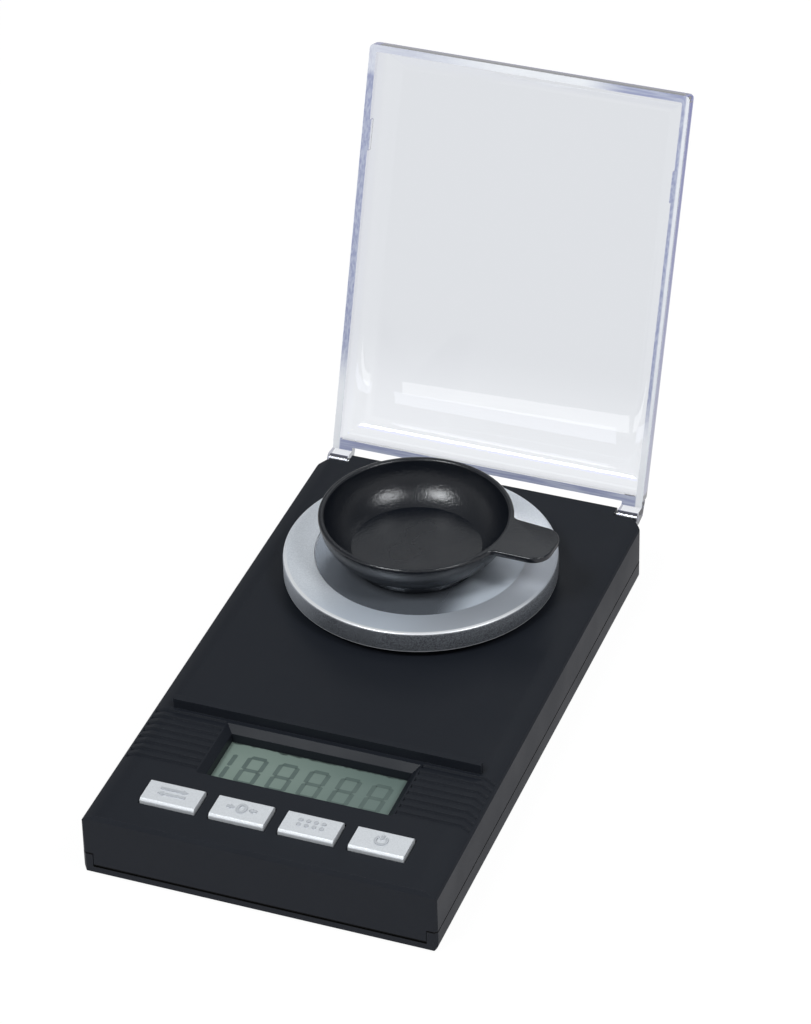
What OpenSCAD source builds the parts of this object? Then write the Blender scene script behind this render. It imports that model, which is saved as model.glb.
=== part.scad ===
// Digital pocket scale with a round weighing platform, a loose pan and a hinged clear lid.
// X runs across the case, Y runs back to the lid's hinge, Z is up.
// Z = 0 is the surface that the scale stands on, and the origin is under the middle of the case.

/* [Case] */
// Width across the case
body_w = 65; // [64:0.5:74]
// Length of the case
body_l = 116; // [116:0.5:126]
// Height of the top face above the table
body_h = 12.8; // [12.8:0.1:16]
// Height at which the two halves of the case meet
seam_z = 4.65; // [4.4:0.05:5.2]
// Thickness of the side walls
wall = 1.6; // [1.2:0.1:1.8]
// Thickness of the top wall
top_t = 1.5; // [1.3:0.1:1.6]
// Thickness of the floor
floor_t = 1.5; // [1.4:0.1:1.6]
// Width of the sloping shoulder along each long edge of the top
shoulder_w = 2.1; // [1:0.1:3]
// Drop of the sloping shoulder
shoulder_drop = 0.85; // [0.4:0.05:1.1]
// Radius of the long lower edges
under_r = 1.4; // [1:0.1:2.5]
// Cut across the two rear corners, seen from above
rear_cut = 4.4; // [3:0.1:5]
// Backward lean of the front wall over its height
front_draft = 0.3; // [0:0.05:0.8]
// Height of the strip of lower case that shows under the front wall
lip_z = 1.9; // [1.6:0.1:2.4]
// Shadow gap over that strip
lip_gap = 0.3; // [0.2:0.05:0.5]
// Distance of the front wall's ends from the sides
apron_inset = 2; // [1.6:0.1:4]

/* [Display] */
// Width of the window recess at its outer edge
window_w = 36.2; // [34:0.1:38]
// Length of the window recess at its outer edge
window_l = 14.5; // [12:0.1:15]
// Distance from the front of the case to the window recess
window_front = 17.35; // [17:0.05:20]
// Width of the sloping edge round the window
window_bevel = 1.25; // [0.5:0.05:1.4]
// Depth of the display's face below the top
display_depth = 3.1; // [2.6:0.1:3.4]
// Thickness of the display glass
glass_t = 2; // [1.4:0.1:2.2]
// Overlap of the glass behind the window's edge
glass_lap = 1.45; // [1:0.05:1.6]
// Wall of the frame round the glass
frame_t = 1.2; // [0.8:0.1:1.4]

/* [Ribbed fields and stop rib] */
// Height of the stop rib over the top face
rib_h = 2; // [1:0.1:3]
// Thickness of the stop rib
rib_t = 1.2; // [1:0.05:1.5]
// Distance of the rib's ends from the sides
rib_inset = 3.7; // [3:0.1:8]
// Distance from the window recess back to the stop rib
rib_gap = 0.9; // [0.5:0.1:1.2]
// Number of grooves in each ribbed field
groove_n = 8; // [4:1:8]
// Distance from one groove to the next
groove_pitch = 1.87; // [1.5:0.01:1.9]
// Width of a groove at the top
groove_w = 1.1; // [0.8:0.05:1.3]
// Depth of a groove
groove_d = 0.35; // [0.2:0.05:0.5]

/* [Keys] */
// Width of a key
key_w = 10.1; // [8:0.1:10.5]
// Length of a key
key_l = 5.8; // [5:0.1:6.5]
// Distance from one key to the next
key_pitch = 12.75; // [12.6:0.05:13]
// Distance from the front of the case to the keys
key_front = 6.6; // [5.4:0.05:7]
// Height of the keys over the top face
key_proud = 0.9; // [0.5:0.05:1.2]
// Slope on the front and back edges of a key
key_bevel = 0.45; // [0.2:0.05:0.5]
// Gap between a key and its opening
key_gap = 0.2; // [0.15:0.05:0.3]
// Travel of a key
key_travel = 0.4; // [0.2:0.05:0.4]
// Rim that keeps a key under the top wall
key_flange = 0.6; // [0.4:0.05:0.7]

/* [Platform] */
// Radius of the weighing platform
plat_r = 25.3; // [22:0.1:26]
// Sideways place of the platform's centre
plat_x = -0.9; // [-1.5:0.1:1.5]
// Distance from the rear of the case to the platform's centre
plat_rear = 32.15; // [31.8:0.05:34]
// Gap between the platform and the top face
plat_gap = 1.4; // [1:0.1:1.6]
// Height of the platform over its lower edge
plat_h = 4.1; // [3.6:0.1:4.2]
// Thickness of the platform's skirt
skirt_t = 1.3; // [1:0.1:2]
// Thickness of the platform's top
plat_top_t = 1.4; // [1.2:0.1:1.6]
// Radius of the shallow recess in the platform
dish_r = 19.5; // [18:0.1:20.5]
// Depth of that recess
dish_d = 0.3; // [0.1:0.05:0.5]
// Radius of the post under the platform
post_r = 4; // [3:0.1:5]
// Clearance round the post in the top of the case
post_gap = 1.5; // [1:0.1:2]
// Wall of the hub that takes the post
hub_t = 2.5; // [1.5:0.1:3]
// Length of the post inside the hub
post_grip = 2.2; // [1.6:0.1:2.2]

/* [Pan] */
// Sideways place of the pan on the platform
pan_dx = -0.4; // [-1:0.1:1]
// Lengthways place of the pan on the platform
pan_dy = -1; // [-1.5:0.1:0]
// Radius of the pan at its rim
pan_r = 17.9; // [17:0.1:19]
// Height of the pan
pan_h = 9.5; // [8.5:0.1:10]
// Radius of the pan's foot ring
foot_r = 12; // [10:0.1:12.5]
// Height of the pan's foot ring
foot_ring_h = 1.5; // [1.2:0.1:2.5]
// Thickness of the foot ring
foot_t = 1; // [0.7:0.1:1.5]
// Thickness of the pan's floor
pan_floor_t = 0.6; // [0.5:0.05:1]
// Width of the pan's rim
pan_rim_t = 1.1; // [0.7:0.05:1.4]
// Reach of the pouring tab from the pan's centre
tab_reach = 27.3; // [24:0.1:28]
// Width of the pouring tab
tab_w = 10.8; // [8:0.1:12]
// Thickness of the pouring tab
tab_t = 1.2; // [0.8:0.1:1.6]
// Narrowing of each side of the tab towards its end
tab_taper = 0.55; // [0:0.05:1]
// Radius of the tab's outer corners
tab_corner = 3.4; // [2:0.1:3.8]
// Turn of the tab from straight right
tab_turn = -4; // [-20:0.5:20]

/* [Lid] */
// Distance of the lid's sides from the sides of the case
lid_inset = 1.4; // [1.2:0.1:2]
// Depth of the lid from its rim to its outer face
lid_depth = 7.2; // [7.2:0.1:10]
// Thickness of the lid's side walls
lid_wall = 1.32; // [1:0.02:1.6]
// Thickness of the lid's panel
lid_panel = 1.3; // [1:0.05:1.5]
// Radius of the lid's outer edges
lid_edge_r = 5; // [3:0.1:5.2]
// Radius of the lid's corners seen from above
lid_corner_r = 0.8; // [0.6:0.1:4]
// Gap between the lid and the stop rib when it is shut
lid_front_gap = 0.31; // [0.2:0.01:0.6]
// Gap between the lid's rim and the top face when it is shut
lid_lift = 0.26; // [0.2:0.01:0.5]
// Angle through which the lid stands open
lid_open = 108.7; // [95:0.1:112]
// Length of each catch on the lid's side walls
catch_l = 5.9; // [3:0.1:8]
// Distance of each catch from the lid's front end
catch_front = 14.3; // [10:0.1:20]
// Thickness of each catch
catch_t = 0.3; // [0.15:0.05:0.4]
// Height of each catch
catch_h = 1.2; // [0.8:0.1:2]

/* [Hinge] */
// Distance of the hinge axis from the rear of the case
hinge_in = 1; // [0.8:0.05:1.3]
// Depth of the hinge axis below the top face
hinge_drop = 1.1; // [1:0.05:1.3]
// Distance from the hinge axis to the lid's rear face
hinge_reach = 2.34; // [2.3:0.02:2.6]
// Diameter of the hinge pins
pin_d = 1.2; // [1:0.05:1.4]
// Clearance of a pin in the lid's ear, on the radius
pin_gap = 0.05; // [0.02:0.01:0.08]
// Radius of the lid's ears round the pins
ear_r = 1.4; // [1.2:0.05:1.45]
// Width of the lid's ears
ear_w = 4; // [3:0.1:4.2]
// Gap beside each ear
ear_gap = 0.5; // [0.3:0.05:0.6]
// Clearance in front of each ear and under it
ear_room = 0.4; // [0.3:0.05:0.6]
// Depth of a pin in the case
pin_grip = 2; // [1.5:0.1:2.5]
// Distance of a pin's outer end from the outside of its ear
pin_short = 0.2; // [0:0.05:0.5]

/* [Batteries] */
// Diameter of a battery
cell_d = 10.2; // [9.8:0.1:10.2]
// Length of a battery without its nub
cell_l = 43.3; // [42:0.1:43.5]
// Diameter of a battery's nub
nub_d = 3.8; // [3:0.1:4.2]
// Length of a battery's nub
nub_l = 1; // [0.8:0.1:1.3]
// Distance from one battery to the other
cell_pitch = 10.8; // [10.4:0.1:11]
// Distance from the stop rib back to the first battery's axis
cell_back = 10.35; // [10.2:0.05:11]
// Thickness of the contact plates
plate_t = 0.3; // [0.2:0.05:0.5]
// Width of a contact plate
plate_w = 9; // [7:0.5:10]
// Height of the contact plates
plate_h = 6.8; // [6:0.1:7]
// Room for a leaf spring between a battery and its plate
spring_room = 2.1; // [1.5:0.1:2.5]
// Thickness of a leaf spring
spring_t = 0.3; // [0.2:0.05:0.4]
// Width of a leaf spring
spring_w = 8; // [6:0.5:8.5]
// Height of a leaf spring
spring_h = 5; // [4:0.1:6]
// Wall of the battery bay
bay_wall = 1.2; // [0.8:0.1:1.4]
// Height of the battery bay's walls over the floor
bay_h = 7; // [6:0.1:7.05]
// Clearance in front of the batteries and behind them
bay_gap = 0.5; // [0.3:0.1:0.6]
// Thickness of the battery door
door_t = 1; // [0.8:0.05:1]
// Overlap of the door past the bay at front and back
door_lap = 1.8; // [1:0.1:2.2]
// Clearance round the door
door_gap = 0.2; // [0.1:0.05:0.3]
// Clearance over the door and its tongues
door_play = 0.05; // [0.03:0.01:0.1]
// Travel of the door before it lifts out
door_travel = 5.5; // [4.5:0.1:5.5]
// Length of a tongue on the door's sides
tongue_l = 4; // [3:0.1:4.2]
// Reach of a tongue under the case's edge
tongue_reach = 0.9; // [0.6:0.05:1]
// Thickness of a tongue
tongue_t = 0.5; // [0.4:0.05:0.5]
// Thickness of the pad over the door's thumb recess
pad_t = 0.7; // [0.5:0.1:1]
// Size of a battery lead's square section
lead_t = 0.8; // [0.6:0.1:0.9]

/* [Circuit board] */
// Distance of the circuit board's edges from the sides of the case
board_side = 7.7; // [7:0.1:9]
// Thickness of the circuit board
board_t = 1.2; // [0.8:0.1:1.6]
// Height of the board's underside over the floor
board_lift = 2.3; // [2:0.1:2.5]
// Distance from the front of the case to the board
board_front = 3.5; // [3.4:0.1:4]
// Distance from the board's back edge to the battery bay
board_back = 1; // [0.6:0.1:1.5]
// Side of a key switch
switch_w = 6; // [4:0.5:6]
// Height of a key switch without its plunger
switch_h = 3.4; // [2.5:0.1:3.6]
// Radius of a key switch's plunger
plunger_r = 1.6; // [1:0.1:2]
// Length of the sensor cable's socket
socket_l = 4.4; // [3.4:0.1:5]
// Width of the sensor cable's socket
socket_w = 3.2; // [2.4:0.1:4]
// Height of the sensor cable's socket
socket_h = 1.6; // [1.2:0.1:2]
// Length of the crystal beside the display
crystal_l = 4; // [2.5:0.1:5]
// Width of the crystal
crystal_w = 2.2; // [1.5:0.1:2.4]
// Length of a capacitor
cap_l = 1.6; // [1:0.1:2]
// Width of a capacitor
cap_w = 0.9; // [0.5:0.1:1.2]
// Side of the controller chip
chip_w = 9; // [6:0.5:9.5]
// Height of the controller chip
chip_h = 1.2; // [0.8:0.1:1.6]
// Width of a rubber connector strip
strip_w = 1.6; // [1.2:0.1:1.8]

/* [Load cell] */
// Length of the load cell
beam_l = 47; // [44:0.5:48]
// Width of the load cell
beam_w = 12; // [10:0.5:12.5]
// Height of the load cell
beam_h = 5; // [4.5:0.1:5]
// Radius of the two holes that thin the load cell
flex_r = 2; // [1.6:0.05:2]
// Distance between those holes
flex_pitch = 12; // [8:0.5:14]
// Height of the slot that joins those holes
flex_slot = 1.2; // [0.8:0.1:2]
// Thickness of the spacer under the load cell's fixed end
spacer_t = 1.3; // [1.1:0.1:1.3]
// Length of the spacer
spacer_l = 13.5; // [12.5:0.5:14]
// Clearance under the platform's carrier
carrier_gap = 0.3; // [0.25:0.05:0.35]
// Thickness of the carrier's foot
carrier_foot = 0.5; // [0.4:0.1:0.6]
// Thickness of the carrier's plate
carrier_t = 1.2; // [1:0.1:1.3]
// Width of the carrier's plate
carrier_w = 15; // [12:0.5:18]
// Reach of the carrier past the post
carrier_reach = 7; // [5:0.5:8]
// Travel of the platform down to its stop
plat_travel = 0.2; // [0.1:0.05:0.2]
// Radius of the load cell's screws
cell_screw_r = 1.25; // [1:0.05:1.3]
// Radius of their heads
cell_head_r = 2.3; // [2:0.1:2.6]
// Height of their heads
cell_head_h = 1; // [0.8:0.1:1.2]
// Distance between the two screws at each end
cell_screw_pitch = 7; // [6:0.1:7.5]
// Distance from the load cell's end to the first screw
cell_screw_in = 3.5; // [3:0.1:4]
// Radius of the overload stop screw
stop_r = 1.5; // [1:0.1:2]
// Gap between the stop screw and the load cell
stop_gap = 0.25; // [0.2:0.05:0.3]
// Side of a strain gauge
gauge_w = 4; // [3:0.5:5]
// Width of the flat sensor cable
cable_w = 2.8; // [2:0.1:3]
// Thickness of the flat sensor cable
cable_t = 0.7; // [0.5:0.1:0.9]

/* [Screws and feet] */
// Distance of the case screws from the sides
screw_side = 4.7; // [4.5:0.1:5]
// Distance of the front case screws from the front
screw_front = 10; // [9:0.5:12]
// Distance of the rear case screws from the rear
screw_rear = 12; // [10:0.5:14]
// Radius of the case screws
screw_r = 1; // [0.8:0.05:1.1]
// Radius of the case screws' heads
head_r = 2; // [1.8:0.05:2.1]
// Height of the case screws' heads
head_h = 1.2; // [1:0.1:1.3]
// Radius of the screw bosses in the top
boss_r = 2.5; // [2.2:0.1:2.6]
// Length of a case screw in the top's boss
screw_bite = 5; // [3:0.5:5]
// Radius of the board screws
board_screw_r = 0.7; // [0.6:0.05:0.9]
// Radius of the board screws' heads
board_head_r = 1.5; // [1.2:0.1:1.7]
// Height of the board screws' heads
board_head_h = 0.9; // [0.6:0.1:1.1]
// Radius of the rubber feet
pad_r = 4; // [3:0.1:4.5]
// Height of the feet under the case
foot_h = 0.4; // [0.3:0.05:0.8]
// Depth of the feet's recesses
foot_in = 0.6; // [0.4:0.05:0.7]
// Distance of the feet from the sides
foot_side = 12.5; // [12:0.5:14]
// Distance of the feet from the front and the rear
foot_end = 7; // [6.5:0.5:10]

/* [Hidden] */
$fn = 64;

// Overshoot of a cut past the face that it goes through
past = 1;
// Clearance between a screw or pin and the hole that grips it
grip_gap = 0.02;

// Case
half_w = body_w / 2;
front_y = -body_l / 2;
rear_y = body_l / 2;
floor_z = foot_h + floor_t;
ceiling_z = body_h - top_t;
inner_w = body_w - 2 * wall;
inner_rear = rear_y - wall;
edge_drop = 0.4;
edge_in = 0.3;
edge_soft = 0.8;
base_soft = 0.3;
front_soft = 0.5;
rear_soft = 0.4;
corner_soft = 0.25;
front_corner = 0.6;
apron_x = half_w - apron_inset;
apron_back = 0.1;
inner_wall_t = 1.2;

// Window, ribbed fields and stop rib
window_y0 = front_y + window_front;
window_y1 = window_y0 + window_l;
window_y = (window_y0 + window_y1) / 2;
glass_top = body_h - display_depth;
glass_z = glass_top - glass_t;
clear_w = window_w - 2 * window_bevel;
clear_l = window_l - 2 * window_bevel;
glass_w = clear_w + 2 * glass_lap;
glass_l = clear_l + 2 * glass_lap;
glass_gap = 0.1;
collar_t = 1;
collar_lift = 0.05;
rib_y0 = window_y1 + rib_gap;
rib_y1 = rib_y0 + rib_t;
groove_y = window_y1 - 0.2;
groove_floor_w = groove_w - 1.2 * groove_d;
groove_over = 0.3;
shoulder_x = half_w - 0.1 - edge_in;

// Keys
key_y = front_y + key_front + key_l / 2;
key_top = body_h + key_proud;
flange_t = 0.8;
flange_gap = 0.05;
flange_top = ceiling_z - flange_gap;
flange_z = flange_top - flange_t;
stub_h = 0.25;
stub_r = 1.5;
stub_z = flange_z - stub_h;
plunger_top = stub_z - key_travel - 0.05;

// Batteries and their bay
door_z = foot_h;
door_top = door_z + door_t;
cell_r = cell_d / 2;
cell_z = door_top + 0.05 + cell_r;
cell_y0 = rib_y1 + cell_back;
cell_y1 = cell_y0 + cell_pitch;
cell_top_gap = 0.15;
plate_x = (cell_l + nub_l + spring_room) / 2;
bay_x = plate_x + plate_t + 0.05;
bay_y0 = cell_y0 - cell_r - bay_gap;
bay_y1 = cell_y1 + cell_r + bay_gap;
lane_x = (half_w - wall + bay_x + bay_wall) / 2;
plate_z = floor_z + 0.3;
plate_top = plate_z + plate_h;
bay_top = min(floor_z + bay_h, plate_top - 0.1);
door_w = 2 * bay_x + 0.5;
door_y0 = bay_y0 - door_lap;
door_y1 = bay_y1 + door_lap;
slot_x = door_w / 2 + door_gap;
tongue_z = door_top - tongue_t;
tongue_x = door_w / 2 + door_gap + tongue_reach;
// Middles of the tongues along each side of the door
tongue_ys = [door_y0 + 7.6, door_y1 - 3.4];
lead_gap = 0.3;

// Board
board_z = floor_z + board_lift;
board_w = body_w - 2 * board_side;
board_clear = 0.3;
board_top = board_z + board_t;
board_y0 = front_y + board_front;
board_y1 = bay_y0 - bay_wall - board_back;
board_l = board_y1 - board_y0;
board_post_r = 2;
board_screw_x = board_w / 2 - 1.8;
board_screw_y0 = key_y + key_l / 2 + 2.7;
board_screw_y1 = board_y1 - 1.8;
socket_y = window_y + 4.2;
socket_x = -board_w / 2 + 1.2;

// Load cell, carrier and platform
plat_y = rear_y - plat_rear;
beam_x0 = plat_x - beam_l / 2;
beam_x1 = plat_x + beam_l / 2;
beam_z = floor_z + spacer_t;
beam_top = beam_z + beam_h;
carrier_z = beam_top + carrier_gap;
carrier_plate_z = carrier_z + carrier_foot;
carrier_top = carrier_plate_z + carrier_t;
carrier_x0 = plat_x - carrier_reach;
carrier_foot_l = 12.6;
head_seat = 0.6;
cell_screw_x = [
  beam_x0 + cell_screw_in, beam_x0 + cell_screw_in + cell_screw_pitch,
  beam_x1 - cell_screw_in - cell_screw_pitch + 1, beam_x1 - cell_screw_in
];
plat_z = body_h + plat_gap;
plat_top = plat_z + plat_h;
post_top = plat_z + post_grip;
hub_r = post_r + hub_t;
gauge_t = 0.1;
stop_x = beam_x1 - 4;
stop_top = beam_z - stop_gap;

// Pan
pan_x = plat_x + pan_dx;
pan_y = plat_y + pan_dy;
pan_z = plat_top - dish_d;
pan_top = pan_z + pan_h;
pan_under = pan_z + foot_ring_h;
pan_floor = pan_under + pan_floor_t;
pan_steps = 14;
bowl_start = 30;

// Lid and hinge
hinge_y = rear_y - hinge_in;
hinge_z = body_h - hinge_drop;
lid_hw = half_w - lid_inset;
lid_y1 = hinge_y - hinge_reach;
lid_y0 = rib_y1 + lid_front_gap;
lid_l = lid_y1 - lid_y0;
lid_z0 = body_h + lid_lift;
lid_z1 = lid_z0 + lid_depth;
catch_y = lid_y0 + catch_front + catch_l / 2;
ear_x1 = lid_hw;
ear_x0 = lid_hw - ear_w;
notch_x = ear_x0 - ear_gap;
notch_y = hinge_y - ear_r - ear_room;
notch_z = hinge_z - ear_r - ear_room;
block_x = notch_x - pin_grip - 0.6;
block_y = notch_y - wall;
block_z = notch_z - wall;
pin_r = pin_d / 2;

// Case screws and feet
screw_x = half_w - screw_side;
screw_y0 = front_y + screw_front;
screw_y1 = rear_y - screw_rear;
head_z = foot_h + 0.4;
foot_x = half_w - foot_side;
foot_y = rear_y - foot_end;

// A flat shape in X and Z, drawn out from y0 to y1
module along_y(y0, y1) {
  translate([0, y1, 0])
    rotate([90, 0, 0])
      linear_extrude(y1 - y0)
        children();
}

// A flat shape in Y and Z, drawn out from x0 to x1
module along_x(x0, x1) {
  translate([x0, 0, 0])
    rotate([90, 0, 90])
      linear_extrude(x1 - x0)
        children();
}

// A block between two corners
module block(a, b) {
  translate(a)
    cube([b[0] - a[0], b[1] - a[1], b[2] - a[2]]);
}

// A block on both sides of the middle
module block_pair(a, b) {
  block(a, b);
  mirror([1, 0, 0])
    block(a, b);
}

// An upright rod
module rod(x, y, z0, z1, r) {
  translate([x, y, z0])
    cylinder(h = z1 - z0, r = r);
}

// A rod along X
module cross_rod(x0, x1, y, z, r) {
  translate([x0, y, z])
    rotate([0, 90, 0])
      cylinder(h = x1 - x0, r = r);
}

// A rectangle with round corners, centred
module round_rect(w, l, r) {
  square([w - 2 * r, l], center = true);
  square([w, l - 2 * r], center = true);
  for (sx = [-1, 1], sy = [-1, 1])
    translate([sx * (w / 2 - r), sy * (l / 2 - r)])
      circle(r = r);
}

// Both case screws of a row, or any other pair at plus and minus x
module both_sides(x) {
  for (s = [-1, 1])
    translate([s * x, 0, 0])
      children();
}

// Outline of the case from above: the two rear corners are cut across
module case_outline() {
  a = half_w;
  c = rear_cut;
  s = corner_soft;
  f = front_corner;
  polygon([
    [-a + f, front_y], [a - f, front_y], [a, front_y + f],
    [a, rear_y - c - s], [a - 0.7 * s, rear_y - c + 0.7 * s],
    [a - c + 0.7 * s, rear_y - 0.7 * s], [a - c - s, rear_y],
    [-a + c + s, rear_y], [-a + c - 0.7 * s, rear_y - 0.7 * s],
    [-a + 0.7 * s, rear_y - c + 0.7 * s], [-a, rear_y - c - s],
    [-a, front_y + f]
  ]);
}

// Outline of the space inside the case, from its front at y
module room_outline(y) {
  a = half_w - wall;
  c = rear_cut - 0.586 * wall;
  polygon([
    [-a, y], [a, y], [a, inner_rear - c], [a - c, inner_rear],
    [-a + c, inner_rear], [-a, inner_rear - c]
  ]);
}

// Cross-section of the case above the lower lip: upright sides and sloping shoulders
module upper_section() {
  a = half_w;
  polygon([
    [-a, lip_z + lip_gap], [a, lip_z + lip_gap],
    [a - 0.1, body_h - shoulder_drop - edge_drop],
    [shoulder_x, body_h - shoulder_drop],
    [shoulder_x - shoulder_w, body_h],
    [-shoulder_x + shoulder_w, body_h],
    [-shoulder_x, body_h - shoulder_drop],
    [-a + 0.1, body_h - shoulder_drop - edge_drop]
  ]);
}

// Lengthways section of the same: the front wall leans back a little
module upper_profile() {
  polygon([
    [front_y, lip_z + lip_gap], [rear_y, lip_z + lip_gap], [rear_y, body_h - rear_soft],
    [rear_y - rear_soft, body_h], [front_y + front_draft + front_soft, body_h],
    [front_y + front_draft, body_h - edge_soft]
  ]);
}

// One groove from beside the window out onto the shoulder, short of the side
module groove() {
  top = [shoulder_x - shoulder_w, body_h];
  edge = [shoulder_x, body_h - shoulder_drop];
  groove_run([window_w / 2 + groove_over + 0.3, body_h], top);
  groove_run(top, edge - 0.3 * (edge - top));
}
module groove_run(p, q) {
  w0 = groove_floor_w / 2;
  w1 = w0 + 0.6 * (groove_d + groove_over);
  translate([p[0], 0, p[1]])
    rotate([0, atan2(p[1] - q[1], q[0] - p[0]), 0])
      along_x(-groove_over, norm(q - p) + groove_over)
        polygon([
          [-w0, -groove_d], [w0, -groove_d], [w1, groove_over], [-w1, groove_over]
        ]);
}
module top_blank() {
  intersection() {
    along_y(front_y - past, rear_y + past)
      upper_section();
    along_x(-half_w - past, half_w + past)
      upper_profile();
    linear_extrude(body_h + past)
      case_outline();
    union() {
      block([-body_w, front_y - past, seam_z], [body_w, rear_y + past, body_h + past]);
      block([-apron_x, front_y - past, lip_z], [apron_x, front_y + wall, seam_z + past]);
    }
  }
}

module window_cut() {
  // sloping sides, then straight walls down to the glass
  w = window_w / 2;
  c = clear_w / 2;
  b = window_bevel;
  d = 0.3;
  intersection() {
    along_y(window_y0 - 2 * d, window_y1 + 2 * d)
      polygon([[-c, body_h - b], [c, body_h - b], [w + d, body_h + d], [-w - d, body_h + d]]);
    along_x(-w - 2 * d, w + 2 * d)
      polygon([
        [window_y0 + b, body_h - b], [window_y1 - b, body_h - b],
        [window_y1 + d, body_h + d], [window_y0 - d, body_h + d]
      ]);
  }
  block([-c, window_y0 + b, glass_top], [c, window_y1 - b, body_h]);
}

module key_row() {
  for (i = [0:3])
    translate([(i - 1.5) * key_pitch, key_y, 0])
      children();
}

module top_case() {
  color([0.17, 0.18, 0.19])
    difference() {
      union() {
        difference() {
          top_blank();
          // the room inside
          translate([0, 0, lip_z])
            linear_extrude(ceiling_z - lip_z)
              room_outline(front_y + wall);
          // thinner over the batteries
          block(
            [-bay_x, bay_y0, ceiling_z - past],
            [bay_x, bay_y1, max(ceiling_z, cell_z + cell_r + cell_top_gap)]
          );
        }
        // stop rib across the top
        block(
          [-half_w + rib_inset, rib_y0, ceiling_z + 0.5],
          [half_w - rib_inset, rib_y1, body_h + rib_h]
        );
        // collar that frames the display
        block(
          [-clear_w / 2 - collar_t, window_y0 + window_bevel - collar_t, glass_top + collar_lift],
          [clear_w / 2 + collar_t, window_y1 - window_bevel + collar_t, ceiling_z + 0.5]
        );
        // screw bosses
        both_sides(screw_x) {
          rod(0, screw_y0, seam_z, ceiling_z + 0.5, boss_r);
          rod(0, screw_y1, seam_z, ceiling_z + 0.5, boss_r);
        }
        // solid corners round the hinge pins
        intersection() {
          top_blank();
          block_pair([block_x, block_y, block_z], [body_w, rear_y + past, body_h + past]);
        }
      }
      window_cut();
      // ribbed fields beside the window
      for (i = [0:groove_n - 1], m = [0, 1])
        mirror([m, 0, 0])
          translate([0, groove_y - i * groove_pitch, 0])
            groove();
      // key openings
      key_row()
        block(
          [-key_w / 2 - key_gap, -key_l / 2 - key_gap, ceiling_z - past],
          [key_w / 2 + key_gap, key_l / 2 + key_gap, body_h + past]
        );
      // hole for the platform's post
      rod(plat_x, plat_y, ceiling_z - past, body_h + past, post_r + post_gap);
      // pilot holes for the case screws
      both_sides(screw_x) {
        rod(0, screw_y0, seam_z - past, seam_z + screw_bite + 0.3, screw_r + grip_gap);
        rod(0, screw_y1, seam_z - past, seam_z + screw_bite + 0.3, screw_r + grip_gap);
      }
      // notches for the lid's ears, and the pin holes beside them
      block_pair([notch_x, notch_y, notch_z], [body_w, rear_y + past, body_h + past]);
      cross_rod(-notch_x - past, -notch_x + pin_grip, hinge_y, hinge_z, pin_r + grip_gap);
      cross_rod(notch_x - pin_grip, notch_x + past, hinge_y, hinge_z, pin_r + grip_gap);
    }
}

// Cross-section of the lower case, with round lower edges
module lower_section() {
  a = half_w;
  r = under_r;
  translate([-a, foot_h + r])
    square([2 * a, seam_z - foot_h - r]);
  translate([-a + r, foot_h])
    square([2 * a - 2 * r, r + past]);
  for (s = [-1, 1])
    translate([s * (a - r), foot_h + r])
      circle(r = r);
}

// Lengthways section of the lower case
module lower_profile() {
  e = base_soft;
  polygon([
    [front_y, seam_z], [front_y, foot_h + e], [front_y + e, foot_h],
    [rear_y - e, foot_h], [rear_y, foot_h + e], [rear_y, seam_z]
  ]);
}

module bottom_blank() {
  intersection() {
    along_y(front_y - past, rear_y + past)
      lower_section();
    along_x(-half_w - past, half_w + past)
      lower_profile();
    linear_extrude(seam_z + past)
      case_outline();
  }
}

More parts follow.
